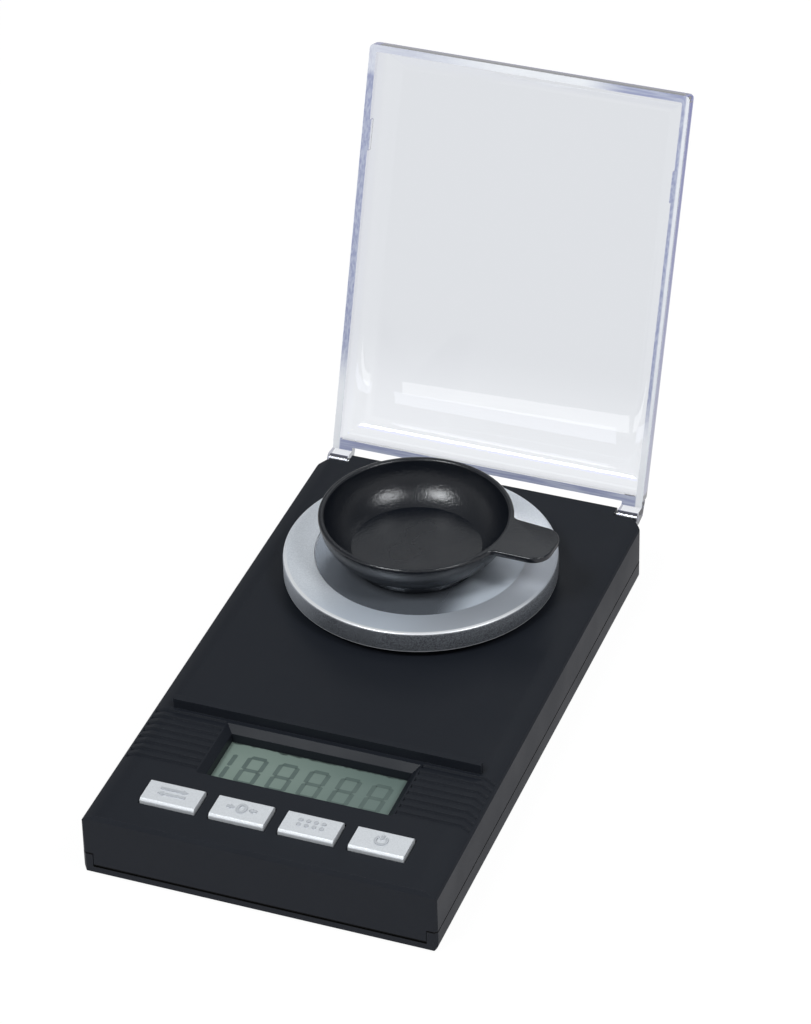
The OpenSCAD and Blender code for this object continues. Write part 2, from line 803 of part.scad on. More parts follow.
module bottom_case() {
  color([0.16, 0.16, 0.17])
    difference() {
      union() {
        difference() {
          bottom_blank();
          translate([0, 0, floor_z])
            linear_extrude(seam_z)
              room_outline(front_y + wall + apron_back + inner_wall_t);
        }
        // battery bay
        difference() {
          block(
            [-bay_x - bay_wall, bay_y0 - bay_wall, foot_h + 1],
            [bay_x + bay_wall, bay_y1 + bay_wall, bay_top]
          );
          block([-bay_x, bay_y0, foot_h], [bay_x, bay_y1, bay_top + past]);
        }
        // thicker floor over the thumb recess
        block(
          [-slot_x - 1, door_y0 - door_travel - 1.5, foot_h + 1],
          [slot_x + 1, bay_y0 - bay_wall / 2, floor_z + pad_t]
        );
        // posts under the board
        both_sides(board_screw_x) {
          rod(0, board_screw_y0, floor_z - 0.5, board_z, board_post_r);
          rod(0, board_screw_y1, floor_z - 0.5, board_z, board_post_r);
        }
        // bosses for the case screws
        both_sides(screw_x) {
          rod(0, screw_y0, floor_z - 0.5, seam_z, boss_r + 0.4);
          rod(0, screw_y1, floor_z - 0.5, seam_z, boss_r + 0.4);
        }
        // boss for the overload stop screw
        rod(stop_x, plat_y, floor_z - 0.5, floor_z + 0.7, stop_r + 1.5);
      }
      // room for the front wall of the upper case
      block(
        [-apron_x - 0.1, front_y - past, lip_z],
        [apron_x + 0.1, front_y + wall + apron_back, seam_z + past]
      );
      // battery bay's mouth
      block([-bay_x, bay_y0, foot_h - past], [bay_x, bay_y1, floor_z + past]);
      // seat of the door, with the thumb recess in front of it
      block(
        [-slot_x, door_y0 - door_gap - door_travel, foot_h - past],
        [slot_x, door_y1 + door_gap, door_top + door_play]
      );
      // undercuts for the door's tongues, open below where they lift out
      for (y = tongue_ys) {
        block_pair(
          [slot_x - 0.1, y - tongue_l / 2 - door_travel - 0.2, tongue_z - door_play],
          [tongue_x + 0.1, y + tongue_l / 2 + 0.2, door_top + door_play]
        );
        block_pair(
          [slot_x - 0.1, y - tongue_l / 2 - door_travel - 0.2, foot_h - past],
          [tongue_x + 0.1, y + tongue_l / 2 - door_travel + 0.2, tongue_z]
        );
      }
      // case screws
      both_sides(screw_x)
        for (y = [screw_y0, screw_y1]) {
          rod(0, y, foot_h - past, head_z + head_h, head_r + 0.15);
          rod(0, y, foot_h, seam_z + past, screw_r + 0.12);
        }
      // board screws
      both_sides(board_screw_x)
        for (y = [board_screw_y0, board_screw_y1])
          rod(0, y, floor_z + 0.1, board_z + past, board_screw_r + grip_gap);
      // load cell's fixed end and the overload stop
      for (i = [0, 1])
        rod(cell_screw_x[i], plat_y, foot_h + 0.5, floor_z + past, cell_screw_r + grip_gap);
      rod(stop_x, plat_y, foot_h + 0.5, floor_z + 2, stop_r + grip_gap);
      // recesses of the feet
      feet()
        cylinder(h = foot_h + foot_in, r = pad_r + 0.1);
    }
}

module battery_door() {
  color([0.15, 0.15, 0.16]) {
    difference() {
      union() {
        block([-door_w / 2, door_y0, door_z], [door_w / 2, door_y1, door_top]);
        for (y = tongue_ys)
          block_pair(
            [door_w / 2 - 0.5, y - tongue_l / 2, tongue_z],
            [tongue_x, y + tongue_l / 2, door_top]
          );
      }
      // grip grooves
      for (i = [0:4])
        block(
          [-7, door_y0 + 2.2 + 1.4 * i, door_z - past],
          [7, door_y0 + 2.9 + 1.4 * i, door_z + 0.35]
        );
    }
  }
}

module battery(dir) {
  // body, then the nub at the end that dir names
  x0 = dir > 0 ? -plate_x + spring_room : -plate_x + nub_l;
  cross_rod(x0, x0 + cell_l, 0, cell_z, cell_r);
  nub_x = dir > 0 ? x0 + cell_l - 0.5 : x0 - nub_l;
  cross_rod(nub_x, nub_x + nub_l + 0.5, 0, cell_z, nub_d / 2);
}

module batteries() {
  color([0.55, 0.56, 0.58]) {
    translate([0, cell_y0, 0])
      battery(-1);
    translate([0, cell_y1, 0])
      battery(1);
  }
}

module leaf_spring() {
  // bowed strip from the plate at x = 0 to the battery
  d = spring_room;
  h = spring_w / 2;
  t = spring_t;
  translate([0, 0, cell_z - spring_h / 2])
    linear_extrude(spring_h)
      polygon([
        [0, -h], [-d, -0.8], [-d, 0.8], [0, h],
        [0, h - 1.6 * t], [-d + t, 0.55], [-d + t, -0.55], [0, -h + 1.6 * t]
      ]);
}

module battery_springs() {
  color([0.72, 0.72, 0.70]) {
    translate([plate_x, cell_y0, 0])
      leaf_spring();
    translate([-plate_x, cell_y1, 0])
      mirror([1, 0, 0])
        leaf_spring();
  }
}

module battery_contacts() {
  p = plate_w / 2;
  color([0.75, 0.74, 0.70]) {
    // plate that joins both batteries on the left
    block([-plate_x - plate_t, cell_y0 - p, plate_z], [-plate_x, cell_y1 + p, plate_top]);
    // two plates on the right, each with a tab to its lead
    for (i = [0, 1]) {
      y = i == 0 ? cell_y0 : cell_y1;
      block([plate_x, y - p, plate_z], [plate_x + plate_t, y + p, plate_top]);
      block([plate_x, y - 0.5, plate_top - 0.01], [lead_x(i) + lead_t, y + 0.5, plate_top + plate_t]);
    }
  }
}

// The leads run in the middle of the gap between the bay and the side wall
function lead_x(i) = lane_x - lead_t - lead_gap / 2 + i * (lead_t + lead_gap);
function lead_y(i) = window_y + 5 - i * 3;

module battery_leads() {
  color([0.55, 0.10, 0.10])
    for (i = [0, 1]) {
      x = lead_x(i);
      y = lead_y(i);
      y2 = (i == 0 ? cell_y0 : cell_y1) + 0.5;
      z1 = plate_top - 0.01;
      z0 = z1 - lead_t;
      block([x, y, z0], [x + lead_t, y2, z1]);
      block([board_w / 2 - 1.8, y, z0], [x + lead_t, y + lead_t, z1]);
      block([board_w / 2 - 1.8, y, board_top], [board_w / 2 - 1, y + lead_t, z1]);
    }
}

module circuit_board() {
  color([0.10, 0.32, 0.18])
    difference() {
      block([-board_w / 2, board_y0, board_z], [board_w / 2, board_y1, board_top]);
      both_sides(board_screw_x)
        for (y = [board_screw_y0, board_screw_y1])
          rod(0, y, board_z - past, board_top + past, board_screw_r + 0.1);
      // room for the front case screws' bosses
      both_sides(screw_x)
        rod(0, screw_y0, board_z - past, board_top + past, boss_r + 0.4 + board_clear);
    }
}

module controller_chip() {
  color([0.08, 0.08, 0.09])
    translate([0, window_y, board_top + chip_h / 2])
      cube([chip_w, chip_w, chip_h], center = true);
}

module board_components() {
  color([0.75, 0.70, 0.55]) {
    // socket of the sensor cable
    block(
      [socket_x, socket_y - socket_l / 2, board_top],
      [socket_x + socket_w, socket_y + socket_l / 2, board_top + socket_h]
    );
    // crystal and capacitors beside the display's frame
    block(
      [board_w / 2 - 1.4 - crystal_w, window_y - 2.6 - crystal_l / 2, board_top],
      [board_w / 2 - 1.4, window_y - 2.6 + crystal_l / 2, board_top + crystal_w / 2]
    );
    for (i = [0:3])
      block(
        [socket_x + 0.8, window_y - 6.6 + i * 2 * cap_w / 0.9, board_top],
        [socket_x + 0.8 + cap_l, window_y - 6.6 + i * 2 * cap_w / 0.9 + cap_w, board_top + cap_w / 1.5]
      );
  }
}

module lcd_panel() {
  color([0.52, 0.57, 0.53])
    block(
      [-glass_w / 2, window_y - glass_l / 2, glass_z],
      [glass_w / 2, window_y + glass_l / 2, glass_top]
    );
}

module lcd_frame() {
  a = glass_w / 2 + glass_gap;
  b = glass_l / 2 + glass_gap;
  color([0.85, 0.85, 0.83])
    difference() {
      block(
        [-a - frame_t, window_y - b - frame_t, board_top],
        [a + frame_t, window_y + b + frame_t, glass_top - 0.2]
      );
      block([-a, window_y - b, board_top - past], [a, window_y + b, glass_top + past]);
    }
}

module lcd_connector_strips() {
  y = glass_l / 2 - strip_w / 2 - 0.2;
  color([0.80, 0.45, 0.55])
    for (s = [-1, 1])
      translate([0, window_y + s * y, (board_top + glass_z) / 2])
        cube([glass_w - 2.4, strip_w, glass_z - board_top], center = true);
}

module key_switches() {
  color([0.30, 0.30, 0.32])
    key_row() {
      translate([0, 0, board_top + switch_h / 2])
        cube([switch_w, min(switch_w, key_l), switch_h], center = true);
      rod(0, 0, board_top + switch_h - 0.1, plunger_top, plunger_r);
    }
}

module key_cap() {
  w = key_w / 2;
  l = key_l / 2;
  b = key_bevel;
  // cap with sloping front and back edges
  along_x(-w, w)
    polygon([
      [-l, flange_z], [l, flange_z], [l, key_top - b], [l - b, key_top],
      [-l + b, key_top], [-l, key_top - b]
    ]);
  // rim under the top wall and the stub over the switch
  f = key_flange;
  block([-w - f, -l - f, flange_z], [w + f, l + f, flange_top]);
  rod(0, 0, stub_z, flange_z + 0.1, stub_r);
}

module key_at(i) {
  color([0.80, 0.82, 0.84])
    translate([(i - 1.5) * key_pitch, key_y, 0])
      key_cap();
}

module key_mode() {
  key_at(0);
}

module key_tare() {
  key_at(1);
}

module key_count() {
  key_at(2);
}

module key_power() {
  key_at(3);
}

module load_cell() {
  color([0.78, 0.79, 0.80])
    difference() {
      block([beam_x0, plat_y - beam_w / 2, beam_z], [beam_x1, plat_y + beam_w / 2, beam_top]);
      // two holes across the beam and the slot between them
      for (s = [-1, 1])
        translate([plat_x + s * flex_pitch / 2, plat_y - beam_w, beam_z + beam_h / 2])
          rotate([-90, 0, 0])
            cylinder(h = 2 * beam_w, r = flex_r);
      block(
        [plat_x - flex_pitch / 2, plat_y - beam_w, beam_z + (beam_h - flex_slot) / 2],
        [plat_x + flex_pitch / 2, plat_y + beam_w, beam_z + (beam_h + flex_slot) / 2]
      );
      // screw holes: clear at the fixed end, tapped at the free end
      for (i = [0, 1])
        rod(cell_screw_x[i], plat_y, beam_z - past, beam_top + past, cell_screw_r + 0.1);
      for (i = [2, 3])
        rod(cell_screw_x[i], plat_y, beam_z - past, beam_top + past, cell_screw_r + grip_gap);
    }
}

module load_cell_spacer() {
  color([0.70, 0.71, 0.72])
    difference() {
      block(
        [beam_x0, plat_y - beam_w / 2, floor_z],
        [beam_x0 + spacer_l, plat_y + beam_w / 2, beam_z]
      );
      for (i = [0, 1])
        rod(cell_screw_x[i], plat_y, floor_z - past, beam_z + past, cell_screw_r + 0.1);
    }
}

module load_cell_screws() {
  color([0.60, 0.60, 0.62]) {
    // fixed end, down into the floor
    for (i = [0, 1]) {
      rod(cell_screw_x[i], plat_y, foot_h + 0.6, beam_top + 0.1, cell_screw_r);
      rod(cell_screw_x[i], plat_y, beam_top, beam_top + cell_head_h, cell_head_r);
    }
    // free end, through the carrier and into the load cell
    for (i = [2, 3]) {
      rod(cell_screw_x[i], plat_y, beam_z + 0.5, carrier_top - head_seat + 0.2, cell_screw_r);
      rod(
        cell_screw_x[i], plat_y, carrier_top - head_seat + 0.05,
        carrier_top - head_seat + 0.05 + cell_head_h, cell_head_r
      );
    }
  }
}

module strain_gauges() {
  color([0.85, 0.65, 0.25])
    for (s = [-1, 1], z = [beam_z - gauge_t, beam_top])
      translate([plat_x + s * flex_pitch / 2, plat_y, z + gauge_t / 2])
        cube([gauge_w, gauge_w, gauge_t], center = true);
}

module overload_stop_screw() {
  color([0.45, 0.45, 0.47])
    rod(stop_x, plat_y, foot_h + 0.6, stop_top, stop_r);
}

module sensor_cable() {
  z0 = board_top + 0.05;
  z1 = z0 + cable_t;
  x0 = -lane_x - cable_w / 2;
  y1 = plat_y - beam_w / 2;
  color([0.75, 0.75, 0.78]) {
    // from the load cell's side, along the left of the case and onto the board's socket
    block([plat_x - 8, y1 - cable_w, z0], [plat_x - 8 + cable_w, y1, z1]);
    block([x0, y1 - cable_w, z0], [plat_x - 8 + cable_w, y1 - 0.3, z1]);
    block([x0, socket_y - cable_w / 2, z0], [x0 + cable_w, y1 - 0.3, z1]);
    block(
      [x0, socket_y - cable_w / 2, z0],
      [socket_x, socket_y + cable_w / 2, z1]
    );
  }
}

module platform_carrier() {
  color([0.72, 0.73, 0.75])
    difference() {
      union() {
        block(
          [carrier_x0, plat_y - carrier_w / 2, carrier_plate_z],
          [beam_x1, plat_y + carrier_w / 2, carrier_top]
        );
        block(
          [beam_x1 - carrier_foot_l, plat_y - beam_w / 2, carrier_z],
          [beam_x1, plat_y + beam_w / 2, carrier_plate_z + 0.1]
        );
        rod(plat_x, plat_y, carrier_plate_z + 0.1, post_top, post_r);
      }
      for (i = [2, 3]) {
        rod(cell_screw_x[i], plat_y, carrier_z - past, carrier_top + past, cell_screw_r + 0.2);
        rod(cell_screw_x[i], plat_y, carrier_top - head_seat, carrier_top + past, cell_head_r + 0.2);
      }
    }
}

module platform() {
  color([0.74, 0.76, 0.79])
    translate([plat_x, plat_y, 0])
      rotate_extrude()
        polygon([
          [post_r + grip_gap, plat_z], [hub_r, plat_z], [hub_r, plat_top - dish_d - plat_top_t],
          [plat_r - skirt_t, plat_top - dish_d - plat_top_t], [plat_r - skirt_t, plat_z],
          [plat_r - 0.25, plat_z], [plat_r, plat_z + 0.25],
          [plat_r, plat_top - 0.3], [plat_r - 0.3, plat_top],
          [dish_r, plat_top], [dish_r, plat_top - dish_d], [0, plat_top - dish_d],
          [0, post_top + 0.02], [post_r + grip_gap, post_top + 0.02]
        ]);
}

// One side of the pan's wall: a quarter of an ellipse from the foot up to the rim
function bowl(r, z, steps) = [
  for (i = [0:steps])
    let (a = bowl_start + (90 - bowl_start) * i / steps)
      [
        foot_r + (r - foot_r) * (sin(a) - sin(bowl_start)) / (1 - sin(bowl_start)),
        pan_top - (pan_top - z) * cos(a) / cos(bowl_start)
      ]
];

module pouring_tab() {
  w = tab_w / 2;
  e = tab_reach - tab_corner;
  k = tab_taper;
  polygon([
    [pan_r - 1.9, -w - 0.6], [pan_r, -w], [e, -w + k],
    [e, w - k], [pan_r, w], [pan_r - 1.9, w + 0.6]
  ]);
  translate([e - 0.01, -w + k + tab_corner])
    square([tab_corner + 0.01, tab_w - 2 * k - 2 * tab_corner]);
  for (s = [-1, 1])
    translate([e, s * (w - k - tab_corner)])
      circle(r = tab_corner);
}

module weighing_pan() {
  color([0.16, 0.16, 0.17])
    translate([pan_x, pan_y, 0])
      difference() {
        union() {
          rotate_extrude()
            polygon(concat(
              [[0, pan_under], [foot_r - foot_t, pan_under], [foot_r - foot_t, pan_z], [foot_r, pan_z]],
              bowl(pan_r, pan_under, pan_steps),
              [[0, pan_top]]
            ));
          translate([0, 0, pan_top - tab_t])
            rotate([0, 0, tab_turn])
              linear_extrude(tab_t - 0.1)
                pouring_tab();
        }
        rotate_extrude()
          polygon(concat(
            [[0, pan_floor]],
            bowl(pan_r - pan_rim_t, pan_floor, pan_steps),
            [[pan_r - pan_rim_t, pan_top + past], [0, pan_top + past]]
          ));
      }
}

// Section through the lid with its rim at z0: round at both upper edges
module lid_section(w, z0, z1, r) {
  translate([-w / 2, z0])
    square([w, z1 - r - z0]);
  translate([-w / 2 + r, z1 - r - 0.01])
    square([w - 2 * r, r + 0.01]);
  for (s = [-1, 1])
    translate([s * (w / 2 - r), z1 - r])
      circle(r = r);
}

// The lid's outer or inner form, t inside the outer one
module lid_form(side_t, top_off, low, r) {
  w = 2 * (lid_hw - side_t);
  l = lid_l - 2 * side_t;
  mid = (lid_y0 + lid_y1) / 2;
  intersection() {
    along_y(lid_y0 - past, lid_y1 + past)
      lid_section(w, lid_z0 - low, lid_z1 - top_off, r);
    along_x(-half_w, half_w)
      translate([mid, 0])
        lid_section(l, lid_z0 - low, lid_z1 - top_off, r);
    translate([0, mid, lid_z0 - low])
      linear_extrude(lid_depth + low + past)
        round_rect(w, l, max(lid_corner_r - side_t, 0.3));
  }
}

module ear_outline() {
  y = hinge_y;
  z = hinge_z;
  r = ear_r;
  translate([y, z])
    circle(r = r);
  polygon([
    [lid_y1 - 0.4, lid_z0], [y - r - 0.25, lid_z0], [y - r, z + 0.2], [y, z],
    [y + 0.87 * r, z + 0.5 * r], [y + 0.2, lid_z0 + 1.4], [lid_y1 - 0.4, lid_z0 + 2]
  ]);
}

// The lid as it lies when it is shut
module lid_shut() {
  difference() {
    union() {
      difference() {
        lid_form(0, 0, 0, lid_edge_r);
        lid_form(lid_wall, lid_panel, past, max(lid_edge_r - lid_wall, 0.5));
      }
      // catches inside the side walls
      for (s = [-1, 1])
        translate([s * (lid_hw - lid_wall - catch_t / 2 + 0.05), catch_y, lid_z0 + catch_h / 2])
          cube([catch_t + 0.1, catch_l, catch_h], center = true);
      // ears round the hinge pins
      for (s = [0, 1])
        mirror([s, 0, 0])
          along_x(ear_x0, ear_x1)
            ear_outline();
    }
    cross_rod(-lid_hw - past, -ear_x0 + past, hinge_y, hinge_z, pin_r + pin_gap);
    cross_rod(ear_x0 - past, lid_hw + past, hinge_y, hinge_z, pin_r + pin_gap);
  }
}

module lid() {
  color([0.75, 0.80, 0.90, 0.4])
    translate([0, hinge_y, hinge_z])
      rotate([-lid_open, 0, 0])
        translate([0, -hinge_y, -hinge_z])
          lid_shut();
}

module hinge_pins() {
  color([0.60, 0.60, 0.62]) {
    cross_rod(notch_x - pin_grip + 0.05, ear_x1 - pin_short, hinge_y, hinge_z, pin_r);
    cross_rod(-ear_x1 + pin_short, -notch_x + pin_grip - 0.05, hinge_y, hinge_z, pin_r);
  }
}

module case_screws() {
  color([0.30, 0.30, 0.31])
    both_sides(screw_x)
      for (y = [screw_y0, screw_y1])
        difference() {
          union() {
            rod(0, y, head_z, head_z + head_h, head_r);
            rod(0, y, head_z + head_h - 0.1, seam_z + screw_bite, screw_r);
          }
          // cross slot
          translate([0, y, head_z])
            cube([2.2, 0.5, 1], center = true);
          translate([0, y, head_z])
            cube([0.5, 2.2, 1], center = true);
        }
}

module board_screws() {
  color([0.60, 0.60, 0.62])
    both_sides(board_screw_x)
      for (y = [board_screw_y0, board_screw_y1]) {
        rod(0, y, floor_z + 0.2, board_top + 0.1, board_screw_r);
        rod(0, y, board_top, board_top + board_head_h, board_head_r);
      }
}

// The four places of the feet
module feet() {
  for (s = [-1, 1], t = [-1, 1])
    translate([s * foot_x, t * foot_y, 0])
      children();
}

module rubber_feet() {
  color([0.10, 0.10, 0.10])
    feet()
      cylinder(h = foot_h + foot_in, r = pad_r);
}

bottom_case();
top_case();
battery_door();
batteries();
battery_springs();
battery_contacts();
battery_leads();
circuit_board();
controller_chip();
board_components();
lcd_panel();
lcd_frame();
lcd_connector_strips();
key_switches();
key_mode();
key_tare();
key_count();
key_power();
load_cell();
load_cell_spacer();
load_cell_screws();
strain_gauges();
overload_stop_screw();
sensor_cable();
platform_carrier();
platform();
weighing_pan();
lid();
hinge_pins();
case_screws();
board_screws();
rubber_feet();
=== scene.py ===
# %% [markdown]
# # Digital pocket scale
# The solids of the scale come in as a fixed frame. This lesson dresses them: it softens the edges
# of the black case, builds the keys, the display, the platform, the pan and the clear lid as fine
# meshes, gives every piece a procedural finish, and sets up a plain white studio. Lengths are
# written in millimetres and turned into metres by `MM`. Colours are linear red, green and blue.

import math

import bmesh
import bpy
from mathutils import Matrix, Vector


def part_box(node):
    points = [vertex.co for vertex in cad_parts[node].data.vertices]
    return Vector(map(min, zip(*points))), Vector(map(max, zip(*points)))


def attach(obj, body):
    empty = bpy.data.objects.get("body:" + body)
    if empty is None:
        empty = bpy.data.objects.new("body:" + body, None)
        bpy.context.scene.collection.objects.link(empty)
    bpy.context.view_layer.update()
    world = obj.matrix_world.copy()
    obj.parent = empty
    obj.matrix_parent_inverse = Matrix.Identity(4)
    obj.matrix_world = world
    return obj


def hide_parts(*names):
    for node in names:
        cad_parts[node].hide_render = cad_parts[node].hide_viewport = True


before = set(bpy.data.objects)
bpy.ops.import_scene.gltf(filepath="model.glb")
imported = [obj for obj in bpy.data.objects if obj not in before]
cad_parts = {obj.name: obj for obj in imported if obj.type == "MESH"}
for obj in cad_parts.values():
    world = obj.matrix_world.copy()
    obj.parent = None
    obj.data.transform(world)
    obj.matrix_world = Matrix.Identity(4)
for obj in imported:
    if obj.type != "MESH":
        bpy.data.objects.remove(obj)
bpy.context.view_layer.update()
MM = 0.001

# %% [markdown]
# ## A short way to write materials
# A material is a small graph. `Finish` makes one and adds any node in one call, and `Value` wraps
# an output so that sums read as Python: `1 - speckle * 0.2` adds two Math nodes.


# %% Helpers for materials
class Value:
    """An output of a node that can be used in sums."""

    def __init__(self, finish, output):
        self.finish, self.output = finish, output

    def math(self, operation, *others):
        return self.finish.node("Math", {"operation": operation}, dict(enumerate((self, *others))))

    def __add__(self, other):
        return self.math("ADD", other)

    def __sub__(self, other):
        return self.math("SUBTRACT", other)

    def __rsub__(self, other):
        return self.finish.node("Math", {"operation": "SUBTRACT"}, {0: other, 1: self})

    def __mul__(self, other):
        return self.math("MULTIPLY", other)

    __radd__ = __add__


class Finish:
    """One procedural material or world, with one call for any node."""

    def __init__(self, name, shader=None, owner=None):
        self.owner = owner or bpy.data.materials.new(name)
        self.owner.use_nodes = True
        self.tree = self.owner.node_tree
        self.place = None
        if shader is not None:
            self.principled = self.tree.nodes["Principled BSDF"]
            self.fill(self.principled, shader)

    def fill(self, node, values):
        """Sets inputs of a node, each to a plain value or to another node's output."""
        for key, value in values.items():
            if isinstance(value, Value):
                self.tree.links.new(value.output, node.inputs[key])
            else:
                node.inputs[key].default_value = value

    def node(self, kind, settings=None, values=None, out=0):
        """Adds a node with its settings and inputs, and gives back one of its outputs."""
        made = self.tree.nodes.new("ShaderNode" + kind)
        for key, value in (settings or {}).items():
            setattr(made, key, value)
        self.fill(made, values or {})
        return Value(self, made.outputs[out])

    def position(self):
        """Where a point of the piece is, in metres."""
        if not self.place:
            self.place = self.node("TexCoord", out="Object")
        return self.place

    def along(self, axis):
        """One coordinate of that point."""
        return self.node("SeparateXYZ", values={0: self.position()}, out=axis)

    def vector(self, operation, *inputs, out=0):
        """A sum of vectors."""
        return self.node("VectorMath", {"operation": operation}, dict(enumerate(inputs)), out)

    def noise(self, size, detail=2, stretch=None):
        """Even noise whose grains are about `size` millimetres across."""
        place = self.position()
        if stretch:
            place = self.node("Mapping", values={"Vector": place, "Scale": stretch})
        return self.node("TexNoise", values={"Vector": place, "Scale": 1 / (size * MM), "Detail": detail})

    def band(self, value, low, high, start=0.0, end=1.0):
        """Turns low...high into start...end, held at the ends."""
        return self.node("MapRange", {"interpolation_type": "SMOOTHSTEP"},
                         {0: value, 1: low, 2: high, 3: start, 4: end})

    def fade(self, factor, first, second):
        """One number fading into another."""
        return self.node("Mix", values={0: factor, 2: first, 3: second})

    def blend(self, factor, first, second):
        """One colour fading into another."""
        return self.node("Mix", {"data_type": "RGBA"}, {0: factor, 6: first, 7: second}, out=2)

    def bump(self, height, depth):
        """Relief of `depth` millimetres."""
        return self.node("Bump", values={"Height": height, "Distance": depth * MM})


def grey(value, blue=1.0):
    """A grey of one brightness, which leans to blue as `blue` grows over 1."""
    return (value, value * (0.7 + 0.3 * blue), value * blue, 1)


# %% [markdown]
# ## The finishes
# The case is black moulded plastic with a fine spark-eroded skin. A faint noise in the bump breaks
# up reflections, and a slower noise varies the gloss, as on any moulding that has been handled.
# The seam between the case's halves and the gap under its front wall are painted as thin dark
# lines, a painted shade in the gaps.

# %% Black case plastic
seam_z, lip_z = 4.65 * MM, 2.14 * MM
front_y, front_half = -56.6 * MM, 30.5 * MM


def gap_shade_lines(finish):
    """Painted shade: 1 in the gap under the front wall and in the seam round the rest, 0 beside them."""
    height = finish.along("Z")
    front = (finish.band(finish.along("Y"), front_y - 0.3 * MM, front_y, 1, 0) *
             finish.band(finish.along("X").math("ABSOLUTE"), front_half, front_half + 0.1 * MM, 1, 0))
    from_lip, from_seam = ((height - level).math("ABSOLUTE") for level in (lip_z, seam_z))
    lip = finish.band(from_lip, 0.25 * MM, 0.32 * MM, 1, 0) * front
    seam = finish.band(from_seam, 0.10 * MM, 0.15 * MM, 1, 0) * (1 - front)
    return lip.math("MAXIMUM", seam)


def black_plastic(name, tone, rough, level, grain, depth, blue=1.25, gap_shade=False):
    """Black plastic with a skin of `grain` millimetres, and with the gap switch the case's seam and front
    gap painted dark as painted shade.
    """
    finish = Finish(name, {"Specular IOR Level": level})
    speck = finish.noise(grain, 3)
    wide = finish.noise(14, 2)
    colour = finish.blend(wide, grey(tone * 0.92, blue), grey(tone * 1.08, blue))
    gloss = finish.band(wide, 0.3, 0.7, rough - 0.03, rough + 0.04)
    if gap_shade:
        # Painted shade: the seam and the gap under the front wall are painted near black and made rough.
        dark = gap_shade_lines(finish)
        colour = finish.blend(dark, colour, grey(0.001))
        gloss = gloss.math("MAXIMUM", dark * 0.9)
    finish.fill(finish.principled, {
        "Base Color": colour, "Roughness": gloss, "Normal": finish.bump(speck, depth),
    })
    return finish.owner


case_black = black_plastic("case_black", tone=0.0132, rough=0.42, level=0.20, grain=0.22,
                           depth=0.006, blue=1.6, gap_shade=True)
pan_black = black_plastic("pan_black", tone=0.005, rough=0.24, level=0.75, grain=0.40,
                          depth=0.055, blue=2.2)
part_black = black_plastic("part_black", tone=0.022, rough=0.5, level=0.3, grain=0.3, depth=0.004)
print("black plastics", case_black.name, pan_black.name, part_black.name)

# %% [markdown]
# The keys are painted silver-white, the platform is sprayed silver: both have metal flakes in the
# paint. A cell pattern with small cells gives each flake its own brightness and tilt.

# %% Silver paints
def flakes(finish, size):
    """The brightness of a paint's flakes, each about `size` millimetres across."""
    cells = finish.node("TexVoronoi", values={
        "Vector": finish.position(), "Scale": 1 / (size * MM),
    }, out="Color")
    return finish.node("SeparateXYZ", values={0: cells}, out="X")


def key_paint(name, colour, rough=0.36, contrast=0.05):
    finish = Finish(name, {"Metallic": 0.15})
    light = flakes(finish, 0.16)
    dark, pale = ((*(c * level for c in colour), 1) for level in (1 - contrast, 1 + contrast))
    finish.fill(finish.principled, {
        "Base Color": finish.blend(light, dark, pale),
        "Roughness": finish.band(light, 0, 1, rough + 0.06, rough - 0.06),
        "Normal": finish.bump(light, 0.003),
    })
    return finish.owner


key_silver = key_paint("key_silver", (0.70, 0.72, 0.745))
sign_silver = key_paint("sign_silver", (0.55, 0.57, 0.60))
print("key paints", key_silver.name, sign_silver.name)

# %% [markdown]
# The platform is sprayed with one silver paint, and its colour changes with its radius, much of it as
# painted light. The ring is satin silver. The sunk disc inside it is smoother and more metallic and
# mirrors the black pan, and its colour is painted darker as painted shade and a painted reflection of
# the pan. The skirt below shows the coarse flakes on a colour painted darker as painted shade. The
# lower edge is paler. The ring is painted darker at the front right as painted shade, the disc lighter
# at its right and the skirt lighter at its left as painted light, and a painted highlight runs along
# the front of the ring's outer edge.

# %% Platform paint
low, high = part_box("platform")
platform_middle = (low + high) / 2
platform_r = (high.x - low.x) / 2
dish_r, dish_depth = 19.5 * MM, 0.3 * MM


